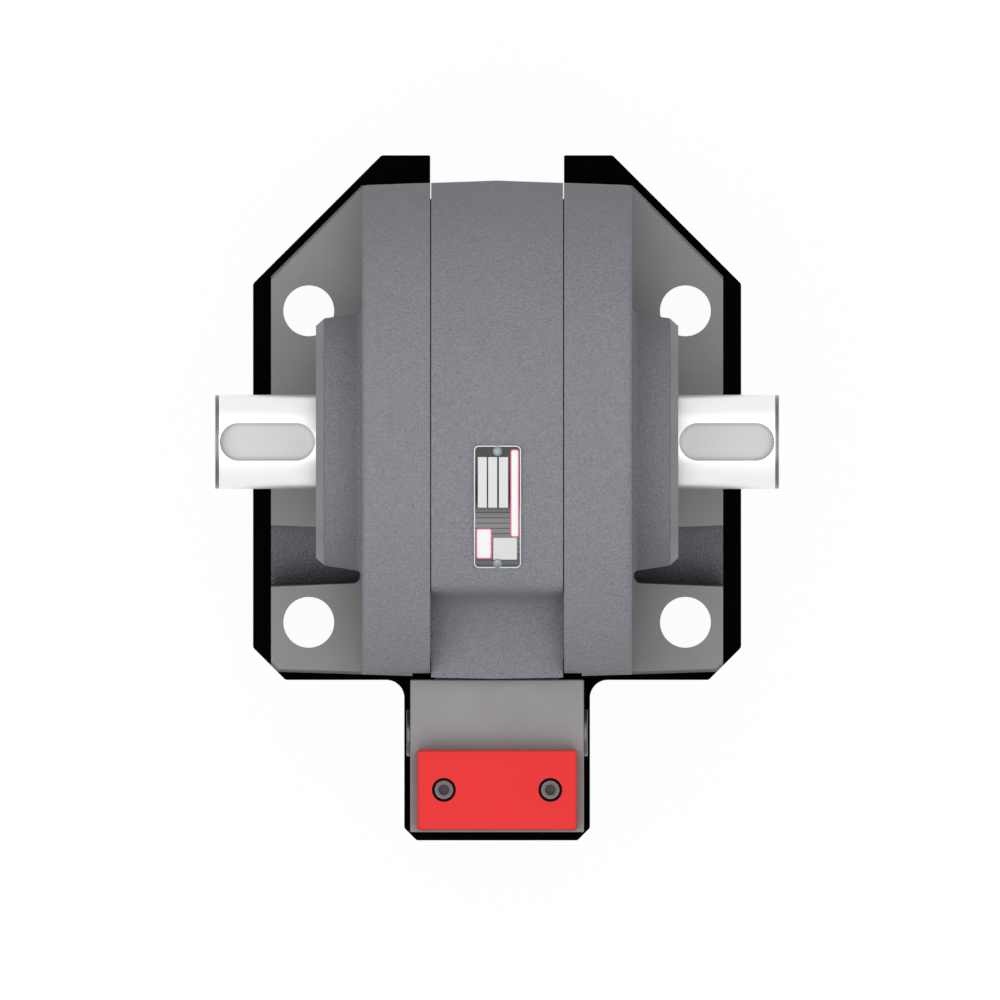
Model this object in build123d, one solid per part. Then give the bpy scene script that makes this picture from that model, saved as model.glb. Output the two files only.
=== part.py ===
from build123d import *
from math import asin, cos, degrees, radians, sin, sqrt, tan
import os

# Hydraulic rotary actuator of the vane type, foot mounted, with a keyed shaft end on each side.
# Sizes are in millimetres. X runs along the shaft and Z up from the mounting face.
# Y runs from the port block towards the open end of the base plate's notch.
# The origin is the centre of the four mounting holes, on the underside of the base plate.

# Clearances that the pieces share
thread_gap = 0.05
screw_clearance = 0.6
counterbore_gap = 1.0
dowel_gap = 0.02
press_gap = 0.02
running_gap = 0.05
vane_gap = 0.3
seal_gap = 0.1
seal_fit = 0.1

# Place of the shaft line
axis_y = 13.1
axis_height = 140.0

# Output shaft with its hub
shaft_d = 50.0
shaft_length = 300.0
shaft_band_width = 2.3
shaft_band_step = 0.15
shaft_edge_break = 0.4
relief_groove_width = 3.0
relief_groove_depth = 0.3
hub_d = 68.0
keyway_width = 20.0
keyway_length = 50.6
keyway_depth = 7.5
keyway_from_end = 2.7
centre_drill_d = 10.2
centre_drill_depth = 28.0
centre_sink_d = 15.0
centre_sink_depth = 3.0
centre_sink_angle = 30.0

# Chamber ring
ring_width = 70.0
ring_d = 277.6
cast_draft = 2.0
chamber_d = 180.0
boss_block_start_y = -50.0
boss_block_rise = 59.0
boss_block_floor_gap = 0.5
recess_edge_y = -67.0
recess_edge_r = 20.0
recess_wall_lean = 3.0
recess_foot_rise = 76.0
recess_blend_end_y = -81.5
ring_low_y = -112.7
ring_low_draft = 0.7

# Port face, where the port block seats on the ring
port_face_y = -113.1
port_pad_width = 66.0
port_pad_floor_gap = 6.0
port_pad_rise = 50.0

# Base plate
plate_thickness = 20.0
plate_width = 259.2
plate_top_y = 165.3
plate_low_y = -113.3
plate_shoulder = 68.2
plate_low_corner = 17.2
notch_gap = 0.5
notch_end_y = -66.0
notch_corner_r = 12.0
tail_width = 98.6
tail_end_y = -198.5
tail_inner_r = 9.5
tail_corner = 6.6

# Mounting holes through ears and plate
bolt_spacing_x = 200.0
bolt_spacing_y = 165.4
bolt_hole_d = 27.0

# End heads: drum, bearing boss and ears
head_depth = 36.7
head_rim_r = 3.0
joint_contact_d = 258.0
joint_relief = 0.6
boss_length = 24.5
boss_root_d = 137.6
boss_draft = 9.0
boss_root_r = 4.0
boss_chamfer_length = 4.5
boss_chamfer_depth = 4.0
skirt_inset = 0.3
ear_reach = 120.0
ear_thickness = 40.0
ear_diagonal_inset = 4.0
ear_root_overlap = 12.0
ear_side_stock = 3.0
ear_edge_r = 0.8
head_low_y_at_ring = -111.5
head_low_y_at_ear = -109.0
head_step_width = 10.0
head_step_depth = 1.5
pocket_start_x = 72.5
pocket_high_y = -32.0
pocket_low_y = -63.0
pocket_flare = 2.0
pocket_corner_r = 4.0
pocket_shallow = 2.5
pocket_deep = 24.0

# Thrust washer and pressure seal, from the chamber outwards
washer_d = 66.0
washer_recess = 3.0
washer_proud = 0.2
pressure_seal_d = 62.0
pressure_seal_width = 9.5
pressure_seal_flare = 1.4
seal_shoulder_d = 54.0
seal_shoulder_width = 3.5

# Cylindrical roller bearing, one in each head
bearing_d = 90.0
bearing_width = 20.0
inner_race_d = 60.0
roller_d = 10.9
roller_length = 13.6
roller_count = 14
lip_width = 3.0
lip_height = 1.6
cage_wall = 3.6
cage_overhang = 2.0
cage_gap = 0.2

# Outer seal stack of each head
spacer_width = 8.0
spacer_wall = 5.0
shaft_seal_width = 10.0
seal_case_wall = 4.0
seal_web = 3.0
seal_lip_height = 5.0
seal_lip_nose = 3.0
seal_lip_reach = 4.5
seal_lip_start = 1.0
dust_lip_width = 1.0
dust_lip_groove = 0.4
retaining_ring_width = 2.7
retaining_groove_depth = 2.2
retaining_ring_depth = 6.5
retaining_gap_angle = 26.0
retaining_lug_r = 4.0
retaining_eye_d = 2.5
stack_gap = 0.1
boss_mouth_chamfer = 1.5

# Socket head screws by thread size: head diameter and hexagon across flats
socket_heads = {6: (10.0, 5.0), 10: (16.0, 8.0), 12: (18.0, 10.0)}
socket_share = 0.5

# Head screws and dowels, by their angle from +Y towards +Z
head_screw = 12
head_screw_land = 20.0
head_screw_angles = (-30, 0, 30, 60, 90, 120, 156, 204)
head_screw_seat = 23.0
head_screw_bite = 17.5
head_dowel_d = 10.0
head_dowel_land = 24.0
head_dowel_angles = (15, 195)
head_dowel_length = 32.0
dowel_end_gap = 1.0

# Base plate screws and dowels, for the right side
plate_screw = 12
plate_screw_places = ((53.0, 118.0), (53.0, -92.0), (106.0, 8.0))
plate_screw_seat = 6.5
plate_screw_bite = 22.0
plate_dowel_d = 10.0
plate_dowel_places = ((106.0, 42.0), (53.0, -68.0))
plate_dowel_length = 34.0

# Head to ring seal
head_groove_land = 5.0
head_groove_width = 4.0
head_groove_depth = 2.9
head_ring_squeeze = 0.1

# Vane and stator shoe, with their seal frames
vane_half_angle = 12.0
shoe_half_angle = 20.0
tongue_width = 14.0
tongue_depth = 8.4
tongue_gap = 0.04
vane_screw = 10
vane_screw_places = (-20.0, 0.0, 20.0)
vane_screw_bite = 17.0
vane_dowel_d = 8.0
vane_dowel_places = (-10.0, 10.0)
vane_dowel_length = 24.0
seal_strip_width = 6.0
seal_strip_depth = 6.0
vane_seal_root = 4.0
shoe_side_gap = 0.02
shoe_bore_gap = 0.05
shoe_seal_root = 6.0
shoe_screw = 12
shoe_screw_places = (-20.0, 20.0)
shoe_screw_bite = 24.0

# Port block
block_width = 92.2
block_depth = 81.0
block_rise = 54.0
block_edge = 0.5
gallery_d = 10.0
side_gallery_d = 8.0
drill_overrun = 3.0
gallery_x = 8.0
gallery_offset = 38.0
port_d = 12.0
port_x = 11.0
port_y = -171.7
port_seal_d = 18.0
port_seal_depth = 2.0
port_seal_wall = 2.4
port_seal_squeeze = 0.05
block_screw = 10
block_screw_x = 25.0
block_screw_offsets = (-80.0, 18.0)
block_screw_bite = 20.0

# Side plugs, one on each side of the port block
side_plug_y = -141.4
side_plug_d = 24.8
side_plug_proud = 2.0
side_plug_thread_d = 21.0
side_plug_thread = 13.0
side_plug_hex = 10.0
side_plug_hex_depth = 7.0
side_seal_depth = 1.6

# Transit cover over the two ports
cover_width = 84.6
cover_depth = 42.3
cover_height = 14.0
cover_corner_r = 1.0
cover_edge = 0.6
cover_screw = 6
cover_screw_spacing = 56.5
cover_screw_seat = 7.0
cover_screw_bite = 12.0
cover_bore_d = 12.5

# Nameplate on the chamber ring
nameplate_width = 25.0
nameplate_length = 65.0
nameplate_x = 0.2
nameplate_y = -21.4
nameplate_corner_r = 2.7
nameplate_thickness = 0.8
rivet_d = 5.3
rivet_height = 1.4
rivet_round = 1.1
rivet_shank_d = 3.0
rivet_depth = 8.0
rivet_spacing = 59.1

# Sizes that follow from the ones above
shaft_r = shaft_d / 2
shaft_end = shaft_length / 2
hub_r = hub_d / 2
ring_half = ring_width / 2
chamber_r = chamber_d / 2
head_groove_d = chamber_d + 2 * head_groove_land
head_screw_circle = chamber_d + 2 * head_screw_land
head_dowel_circle = chamber_d + 2 * head_dowel_land
vane_seal_start = hub_r + vane_seal_root
shoe_seal_end = chamber_r - shoe_seal_root
boss_block_top = axis_height + boss_block_rise
recess_wall_foot = axis_height + recess_foot_rise
block_top = axis_height + block_rise
block_screw_heights = [axis_height + offset for offset in block_screw_offsets]
vane_half = ring_half - vane_gap
head_face = ring_half + head_depth
boss_end = head_face + boss_length
plate_half = plate_width / 2
notch_half = ring_half + notch_gap
ear_top = plate_thickness + ear_thickness
washer_end = ring_half + washer_recess
seal_pocket_end = washer_end + pressure_seal_width
bearing_start = seal_pocket_end + seal_shoulder_width
bearing_end = bearing_start + bearing_width
spacer_end = bearing_end + spacer_width
shaft_seal_end = spacer_end + shaft_seal_width
groove_start = shaft_seal_end + stack_gap
groove_end = groove_start + retaining_ring_width + stack_gap
bearing_r = bearing_d / 2
roller_r = roller_d / 2
roller_path_r = inner_race_d / 2 + running_gap + roller_r
outer_race_r = roller_path_r + roller_r + running_gap
lip_r = outer_race_r - lip_height
slot_bottom_r = hub_r - tongue_depth
block_end_y = port_face_y - block_depth
block_half = block_width / 2
tall = 2 * axis_height + ring_d

shaft_line = Axis((0, axis_y, axis_height), (1, 0, 0))
along_shaft = Plane(origin=(0, axis_y, axis_height), x_dir=(1, 0, 0), z_dir=(0, -1, 0))


def polygon(*points):
    """A flat face with straight sides."""
    return make_face(Polyline(*points, close=True))


def turned(*points):
    """A solid turned about the shaft line, from points of place along it and radius."""
    return revolve(along_shaft * polygon(*points), shaft_line)


def ring(outer_r, inner_r, start, end):
    """A plain ring about the shaft line."""
    return turned((start, inner_r), (end, inner_r), (end, outer_r), (start, outer_r))


def disc(radius, start, end):
    """A plain disc about the shaft line."""
    return turned((start, 0), (end, 0), (end, radius), (start, radius))


def block(x, y, z):
    """A box between two limits along each of X, Y and Z."""
    size = [high - low for low, high in (x, y, z)]
    centre = [(high + low) / 2 for low, high in (x, y, z)]
    return Pos(*centre) * Box(*size)


def bar(start, direction, radius, length):
    """A round bar from a start point along a direction."""
    return extrude(Plane(origin=start, z_dir=direction) * Circle(radius), length)


def upright(plan, low, high):
    """A plan outline given its height."""
    return extrude(Pos(0, 0, low) * plan, high - low)


def across(outline, start, end):
    """An outline of Y and Z carried along X."""
    plane = Plane(origin=(start, 0, 0), x_dir=(0, 1, 0), z_dir=(1, 0, 0))
    return extrude(plane * outline, end - start)


def moved_along(point, direction, distance):
    """A point moved some way along a direction."""
    return tuple(p + distance * d for p, d in zip(point, direction))


def on_circle(x, diameter, angle):
    """A point round the shaft line, its angle counted from +Y towards +Z."""
    radius = diameter / 2
    turn = radians(angle)
    return (x, axis_y + radius * cos(turn), axis_height + radius * sin(turn))


def socket_head(size):
    """Head diameter and hexagon width of a screw, in proportion to the nearest listed thread."""
    listed = min(socket_heads, key=lambda thread: abs(thread - size))
    return [width * size / listed for width in socket_heads[listed]]


def socket_screw(size, length, seat, direction):
    """A socket head screw whose head rests at the seat and whose shank points along the direction."""
    head_d, flats = socket_head(size)
    under_head = Plane(origin=seat, z_dir=direction)
    head_top = under_head.offset(-size)
    head = extrude(head_top * Circle(head_d / 2), size)
    shank = extrude(under_head * Circle(size / 2), length)
    socket = extrude(head_top * RegularPolygon(flats / 2, 6, major_radius=False), size * socket_share)
    return head + shank - socket


def screw_way(size, grip, seat, direction, head_room):
    """The clearance hole and counterbore for a socket head screw."""
    head_d = socket_head(size)[0]
    hole = bar(seat, direction, size / 2 + screw_clearance, grip)
    back = tuple(-d for d in direction)
    return hole + bar(seat, back, head_d / 2 + counterbore_gap, head_room)


def drum_radius(x):
    """Outer radius of the drafted drum, widest at the middle of the chamber ring."""
    return ring_d / 2 - abs(x) * tan(radians(cast_draft))


def head_low_y(x):
    """Edge of the end head's flat side, which leans with the draft of the casting."""
    run = ear_reach - ring_half
    return head_low_y_at_ring + (head_low_y_at_ear - head_low_y_at_ring) * (x - ring_half) / run


def write(name, *solids):
    """Write one sub-part, which may be several like solids."""
    shape = solids[0] if len(solids) == 1 else Compound(children=list(solids))
    export_step(shape, f"parts/{name}.step")


def mirrored(shape):
    """The same piece on the left side."""
    return mirror(shape, about=Plane.YZ)


def write_pair(name, *solids):
    """Write a right-hand sub-part and its mirror image on the left."""
    write("right_" + name, *solids)
    write("left_" + name, *[mirrored(solid) for solid in solids])


def both_sides(solids):
    """Solids of the right side with their mirror images."""
    return list(solids) + [mirrored(solid) for solid in solids]


# Base plate


def mounting_points():
    """Centres of the four mounting holes."""
    half_x, half_y = bolt_spacing_x / 2, bolt_spacing_y / 2
    return [(x, y) for x in (-half_x, half_x) for y in (-half_y, half_y)]


def base_plate():
    """Notched plate that the heads and the port block stand on."""
    tail_half = tail_width / 2
    right = [
        (plate_half - plate_shoulder, plate_top_y),
        (plate_half, plate_top_y - plate_shoulder),
        (plate_half, plate_low_y + plate_low_corner),
        (plate_half - plate_low_corner, plate_low_y),
        (tail_half, plate_low_y),
        (tail_half, tail_end_y + tail_corner),
        (tail_half - tail_corner, tail_end_y),
    ]
    left = [(-x, y) for x, y in reversed(right)]
    outline = polygon(*right, *left)
    low_line = outline.vertices().filter_by(lambda v: abs(v.Y - plate_low_y) < 1)
    outline = fillet(low_line.filter_by(lambda v: abs(v.X) < tail_half + 1), tail_inner_r)
    notch_high = plate_top_y + notch_corner_r
    notch = polygon(
        (-notch_half, notch_end_y),
        (notch_half, notch_end_y),
        (notch_half, notch_high),
        (-notch_half, notch_high),
    )
    notch = fillet(notch.vertices().sort_by(Axis.Y)[:2], notch_corner_r)
    plate = upright(outline - notch, 0, plate_thickness)
    for x, y in mounting_points():
        plate -= bar((x, y, 0), (0, 0, 1), bolt_hole_d / 2, plate_thickness)
    for x, y in plate_screw_places:
        for place in (x, -x):
            seat = (place, y, plate_thickness - plate_screw_seat)
            plate -= screw_way(plate_screw, plate_screw_seat, seat, (0, 0, 1), plate_thickness)
    for x, y in plate_dowel_places:
        for place in (x, -x):
            plate -= bar((place, y, 0), (0, 0, 1), plate_dowel_d / 2 + dowel_gap, plate_thickness)
    return plate


def base_plate_screws():
    """Screws from below that hold the heads down on the plate."""
    length = plate_screw_seat + plate_screw_bite
    seat_height = plate_thickness - plate_screw_seat
    right = [
        socket_screw(plate_screw, length, (x, y, seat_height), (0, 0, 1)) for x, y in plate_screw_places
    ]
    return both_sides(right)


def base_dowels():
    """Dowels between the plate and the heads."""
    right = [
        bar((x, y, dowel_end_gap), (0, 0, 1), plate_dowel_d / 2, plate_dowel_length)
        for x, y in plate_dowel_places
    ]
    return both_sides(right)


# End heads


def head_drum():
    """Drum and bearing boss of the right end head, turned about the shaft line."""
    contact_r = joint_contact_d / 2
    relief_x = ring_half + joint_relief
    chamfer_x = boss_end - boss_chamfer_length
    boss_root = boss_root_d / 2
    chamfer_r = boss_root - (chamfer_x - head_face) * tan(radians(boss_draft))
    outline = polygon(
        (ring_half, 0),
        (ring_half, contact_r),
        (relief_x, contact_r),
        (relief_x, drum_radius(relief_x)),
        (head_face, drum_radius(head_face)),
        (head_face, boss_root),
        (chamfer_x, chamfer_r),
        (boss_end, chamfer_r - boss_chamfer_depth),
        (boss_end, 0),
    )
    rim = outline.vertices().sort_by_distance((head_face, drum_radius(head_face), 0))[0]
    outline = fillet(rim, head_rim_r)
    root = outline.vertices().sort_by_distance((head_face, boss_root, 0))[0]
    outline = fillet(root, boss_root_r)
    return revolve(along_shaft * outline, shaft_line)


def head_skirt():
    """Straight walls that carry the drum down to the base plate."""
    high = [(x, axis_y + drum_radius(x) - skirt_inset) for x in (head_face, ring_half + joint_relief)]
    low = [(x, head_low_y(x)) for x in (ring_half + joint_relief, head_face)]
    return upright(polygon(*low, *high), plate_thickness, axis_height)


def head_ear():
    """Ear with the two mounting holes: drafted, eased along its top, and cut square at its side."""
    root_x = head_face - ear_root_overlap
    far_x = ear_reach + ear_side_stock
    upper_line = plate_half + plate_top_y - plate_shoulder - ear_diagonal_inset * sqrt(2)
    lower_line = plate_half - plate_low_y - plate_low_corner
    corner_y = head_low_y(ear_reach)
    plan = polygon(
        (root_x, head_low_y(root_x)),
        (lower_line + corner_y, corner_y),
        (far_x, far_x - lower_line),
        (far_x, upper_line - far_x),
        (head_face, upper_line - head_face),
        (root_x, upper_line - head_face),
    )
    ear = extrude(Pos(0, 0, plate_thickness) * plan, ear_thickness, taper=cast_draft)
    ear = fillet(ear.edges().group_by(Axis.Z)[-1], ear_edge_r)
    return ear & block((0, ear_reach), (-tall, tall), (0, tall))


def ear_pocket():
    """Cast pocket across the ear, with a floor that falls towards the port block."""
    end_x = ear_reach + pocket_flare
    plan = polygon(
        (pocket_start_x, pocket_low_y + pocket_flare / 2),
        (end_x, pocket_low_y - pocket_flare / 2),
        (end_x, pocket_high_y + pocket_flare / 2),
        (pocket_start_x, pocket_high_y - pocket_flare / 2),
    )
    plan = fillet(plan.vertices().sort_by(Axis.X)[:2], pocket_corner_r)
    space = extrude(Pos(0, 0, ear_top + cast_draft) * plan, -(pocket_deep + cast_draft), taper=cast_draft)
    above_floor = polygon(
        (pocket_low_y - pocket_flare, ear_top - pocket_deep),
        (pocket_high_y + pocket_flare, ear_top - pocket_shallow),
        (pocket_high_y + pocket_flare, ear_top + pocket_deep),
        (pocket_low_y - pocket_flare, ear_top + pocket_deep),
    )
    return space & across(above_floor, 0, end_x)


def head_bores():
    """Everything bored into the right end head from its two faces."""
    space = disc(washer_d / 2, ring_half, washer_end)
    space += disc(pressure_seal_d / 2, ring_half, seal_pocket_end)
    space += disc(seal_shoulder_d / 2, ring_half, bearing_end)
    space += disc(bearing_r, bearing_start, boss_end)
    space += disc(bearing_r + retaining_groove_depth, groove_start, groove_end)
    mouth = boss_end - boss_mouth_chamfer
    space += turned((mouth, 0), (mouth, bearing_r), (boss_end, bearing_r + boss_mouth_chamfer), (boss_end, 0))
    return space


def end_head():
    """Right end head: one casting with drum, boss, skirt and ear, bored and drilled."""
    head = head_drum() + head_skirt() + head_ear()
    head -= ear_pocket()
    far_x = ear_reach + ear_thickness
    flat = polygon((0, head_low_y(0)), (far_x, head_low_y(far_x)), (far_x, -tall), (0, -tall))
    head -= upright(flat, 0, tall)
    step_end = ring_half + head_step_width
    step_y = head_low_y(step_end) + head_step_depth
    head -= block((0, step_end), (-tall, step_y), (0, tall))
    head -= block((0, far_x), (-tall, tall), (-tall, plate_thickness))
    head -= head_bores()
    for angle in head_screw_angles:
        seat = on_circle(ring_half + head_screw_seat, head_screw_circle, angle)
        head -= screw_way(head_screw, head_screw_seat, seat, (-1, 0, 0), head_depth)
    for angle in head_dowel_angles:
        start = on_circle(ring_half, head_dowel_circle, angle)
        depth = head_dowel_length / 2 + dowel_end_gap
        head -= bar(start, (1, 0, 0), head_dowel_d / 2 + dowel_gap, depth)
    for x, y in mounting_points():
        if x > 0:
            head -= bar((x, y, plate_thickness), (0, 0, 1), bolt_hole_d / 2, ear_thickness)
    for x, y in plate_screw_places:
        depth = plate_screw_bite + dowel_end_gap
        head -= bar((x, y, plate_thickness), (0, 0, 1), plate_screw / 2 + thread_gap, depth)
    for x, y in plate_dowel_places:
        depth = plate_dowel_length + 2 * dowel_end_gap - plate_thickness
        head -= bar((x, y, plate_thickness), (0, 0, 1), plate_dowel_d / 2 + dowel_gap, depth)
    return head


def head_screws():
    """Screws that pull the right head against the ring."""
    length = head_screw_seat + head_screw_bite
    start = ring_half + head_screw_seat
    return [
        socket_screw(head_screw, length, on_circle(start, head_screw_circle, angle), (-1, 0, 0))
        for angle in head_screw_angles
    ]


def head_dowels():
    """Dowels across both joint faces of the ring."""
    start = ring_half - head_dowel_length / 2
    right = [
        bar(on_circle(start, head_dowel_circle, angle), (1, 0, 0), head_dowel_d / 2, head_dowel_length)
        for angle in head_dowel_angles
    ]
    return both_sides(right)


def head_o_ring():
    """Seal ring in the groove of the ring's end face."""
    inner_r = head_groove_d / 2 + head_ring_squeeze
    outer_r = head_groove_d / 2 + head_groove_width - head_ring_squeeze
    start = ring_half - head_groove_depth + head_ring_squeeze / 2
    end = ring_half - head_ring_squeeze / 2
    return ring(outer_r, inner_r, start, end)


# Chamber ring


def ring_boss_block():
    """Squared lump on the side of the ring that carries the port face."""
    low = plate_thickness + boss_block_floor_gap
    outline = polygon(
        (boss_block_start_y, low),
        (port_face_y, low),
        (port_face_y, boss_block_top),
        (boss_block_start_y, boss_block_top),
    )
    return across(outline, -ring_half, ring_half)


def ring_recess():
    """What the pattern leaves out above the lump: a rolled edge, a steep wall, a hollow blend and a ledge."""
    centre_r = ring_d / 2 - recess_edge_r
    across_y = recess_edge_y + recess_edge_r - axis_y
    up_z = sqrt(centre_r**2 - across_y**2)
    outward = ring_d / 2 / centre_r
    edge = (axis_y + across_y * outward, axis_height + up_z * outward)
    wall = (recess_edge_y, axis_height + up_z)
    foot = (recess_edge_y - recess_wall_lean, recess_wall_foot)
    ledge = (recess_blend_end_y, boss_block_top)
    roll = TangentArc(wall, edge, tangent=(0, 1))
    fall = Line(wall, foot)
    blend = TangentArc(foot, ledge, tangent=(foot[0] - wall[0], foot[1] - wall[1]))
    rest = Polyline(ledge, (-tall, boss_block_top), (-tall, tall), (edge[0], tall), edge)
    return across(make_face(roll + fall + blend + rest), -ring_half, ring_half)


def seal_groove():
    """Groove for the seal ring in the right end face."""
    inner_r = head_groove_d / 2
    return ring(inner_r + head_groove_width, inner_r, ring_half - head_groove_depth, ring_half)


def gallery_height(side):
    """Height of an oil gallery: above the shaft line on the right, below it on the left."""
    return axis_height + side * gallery_offset


def chamber_ring():
    """Drafted casting round the chamber, with the port face on one side."""
    end_r = drum_radius(ring_half)
    body = turned((-ring_half, 0), (-ring_half, end_r), (0, ring_d / 2), (ring_half, end_r), (ring_half, 0))
    body += ring_boss_block()
    body -= ring_recess()
    flat = polygon(
        (-ring_half, ring_low_y + ring_low_draft),
        (0, ring_low_y),
        (ring_half, ring_low_y + ring_low_draft),
        (ring_half, -tall),
        (-ring_half, -tall),
    )
    body -= upright(flat, 0, tall)
    pad_half = port_pad_width / 2
    pad_low = plate_thickness + port_pad_floor_gap
    pad_high = axis_height + port_pad_rise
    body += block((-pad_half, pad_half), (port_face_y, recess_blend_end_y), (pad_low, pad_high))
    body -= disc(chamber_r, -ring_half, ring_half)
    cuts = [seal_groove()]
    for angle in head_screw_angles:
        start = on_circle(ring_half, head_screw_circle, angle)
        cuts.append(bar(start, (-1, 0, 0), head_screw / 2 + thread_gap, head_screw_bite + dowel_end_gap))
    for angle in head_dowel_angles:
        start = on_circle(ring_half, head_dowel_circle, angle)
        depth = head_dowel_length / 2 + dowel_end_gap
        cuts.append(bar(start, (-1, 0, 0), head_dowel_d / 2 + dowel_gap, depth))
    for cut in both_sides(cuts):
        body -= cut
    wall = axis_y - chamber_r - port_face_y
    for side in (-1, 1):
        start = (side * gallery_x, port_face_y, gallery_height(side))
        body -= bar(start, (0, 1, 0), gallery_d / 2, axis_y - port_face_y - hub_r)
        for height in block_screw_heights:
            start = (side * block_screw_x, port_face_y, height)
            body -= bar(start, (0, 1, 0), block_screw / 2 + thread_gap, block_screw_bite + dowel_end_gap)
    for x in shoe_screw_places:
        seat = (x, port_face_y + shoe_screw, axis_height)
        body -= screw_way(shoe_screw, wall, seat, (0, 1, 0), shoe_screw)
    for point, outward in rivet_places():
        start = moved_along(point, outward, -rivet_depth)
        body -= bar(start, outward, rivet_shank_d / 2 + thread_gap, 2 * rivet_depth)
    return body


# Bearings, seals and washers of the right head


def thrust_washer():
    """Washer in the head's inner face that the hub runs against."""
    start = ring_half - washer_proud
    return ring(washer_d / 2 - press_gap, shaft_r + seal_gap, start, washer_end - press_gap)


def pressure_seal():
    """Lipped seal that keeps the chamber pressure from the bearing."""
    outer = pressure_seal_d / 2 - press_gap
    inner = shaft_r + seal_gap / 2
    start = washer_end + stack_gap
    end = seal_pocket_end - stack_gap
    lip = (outer - inner) / 4
    flare = pressure_seal_flare * lip
    root = end - pressure_seal_width / 2
    return turned(
        (start, outer),
        (start, outer - lip),
        (root, outer - flare),
        (root, inner + flare),
        (start, inner + lip),
        (start, inner),
        (end, inner),
        (end, outer),
    )


def bearing_outer_ring():
    """Outer ring with a lip at each side of the rollers."""
    outer = bearing_r - press_gap
    start, end = bearing_start + stack_gap, bearing_end - stack_gap
    return turned(
        (start, outer),
        (start, lip_r),
        (bearing_start + lip_width, lip_r),
        (bearing_start + lip_width, outer_race_r),
        (bearing_end - lip_width, outer_race_r),
        (bearing_end - lip_width, lip_r),
        (end, lip_r),
        (end, outer),
    )


def bearing_inner_ring():
    """Plain inner ring on the shaft."""
    start, end = bearing_start + stack_gap, bearing_end - stack_gap
    return ring(inner_race_d / 2, shaft_r + press_gap, start, end)


def bearing_rollers():
    """Rollers evenly round the races."""
    start = (bearing_start + bearing_end - roller_length) / 2
    circle = 2 * roller_path_r
    return [
        bar(on_circle(start, circle, turn * 360 / roller_count), (1, 0, 0), roller_r, roller_length)
        for turn in range(roller_count)
    ]


def bearing_cage():
    """Cage that spaces the rollers, with one window for each."""
    middle = (bearing_start + bearing_end) / 2
    half = roller_length / 2 + cage_gap + cage_overhang
    inner = roller_path_r - cage_wall / 2
    cage = ring(inner + cage_wall, inner, middle - half, middle + half)
    window_half = roller_length / 2 + cage_gap
    for turn in range(roller_count):
        start = on_circle(middle - window_half, 2 * roller_path_r, turn * 360 / roller_count)
        cage -= bar(start, (1, 0, 0), roller_r + cage_gap, 2 * window_half)
    return cage


def bearing_spacer():
    """Sleeve between the bearing's outer ring and the shaft seal."""
    outer = bearing_r - press_gap
    return ring(outer, outer - spacer_wall, bearing_end, spacer_end - stack_gap)


def shaft_seal():
    """Outer shaft seal: case, web and a sealing lip with a dust lip."""
    outer = bearing_r - press_gap
    start, end = spacer_end, shaft_seal_end - stack_gap
    bore = outer - seal_case_wall
    lip = shaft_r + running_gap
    web = end - seal_web
    return turned(
        (start, outer),
        (start, bore),
        (web, bore),
        (web, lip + seal_lip_height),
        (start + 2 * seal_lip_start, lip + seal_lip_height - seal_lip_start / 2),
        (start + seal_lip_start, lip + seal_lip_nose),
        (start + seal_lip_reach, lip),
        (web, lip + dust_lip_groove),
        (end - dust_lip_width, lip),
        (end, lip + seal_lip_nose),
        (end, outer),
    )


def retaining_ring():
    """Sprung ring in the boss's groove, with a gap and two eyes."""
    outer = bearing_r + retaining_groove_depth - 2 * stack_gap
    inner = outer - retaining_ring_depth
    start, end = groove_start + stack_gap / 2, groove_end - stack_gap / 2
    blank = ring(outer, inner, start, end)
    half = retaining_gap_angle / 2
    centre = on_circle(start, 0, 0)
    edges = [on_circle(start, 4 * outer, 90 + turn) for turn in (-half, half)]
    gap = polygon((centre[1], centre[2]), *[(y, z) for _, y, z in edges])
    blank -= across(gap, start, end)
    lug_circle = 2 * (inner + retaining_lug_r / 2)
    lug_turn = half + degrees(asin(retaining_lug_r / inner))
    for turn in (-lug_turn, lug_turn):
        centre = on_circle(start, lug_circle, 90 + turn)
        blank += bar(centre, (1, 0, 0), retaining_lug_r, end - start)
        blank -= bar(centre, (1, 0, 0), retaining_eye_d / 2, end - start)
    return blank


# Rotor: shaft, vane and what is fastened to them


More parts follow.
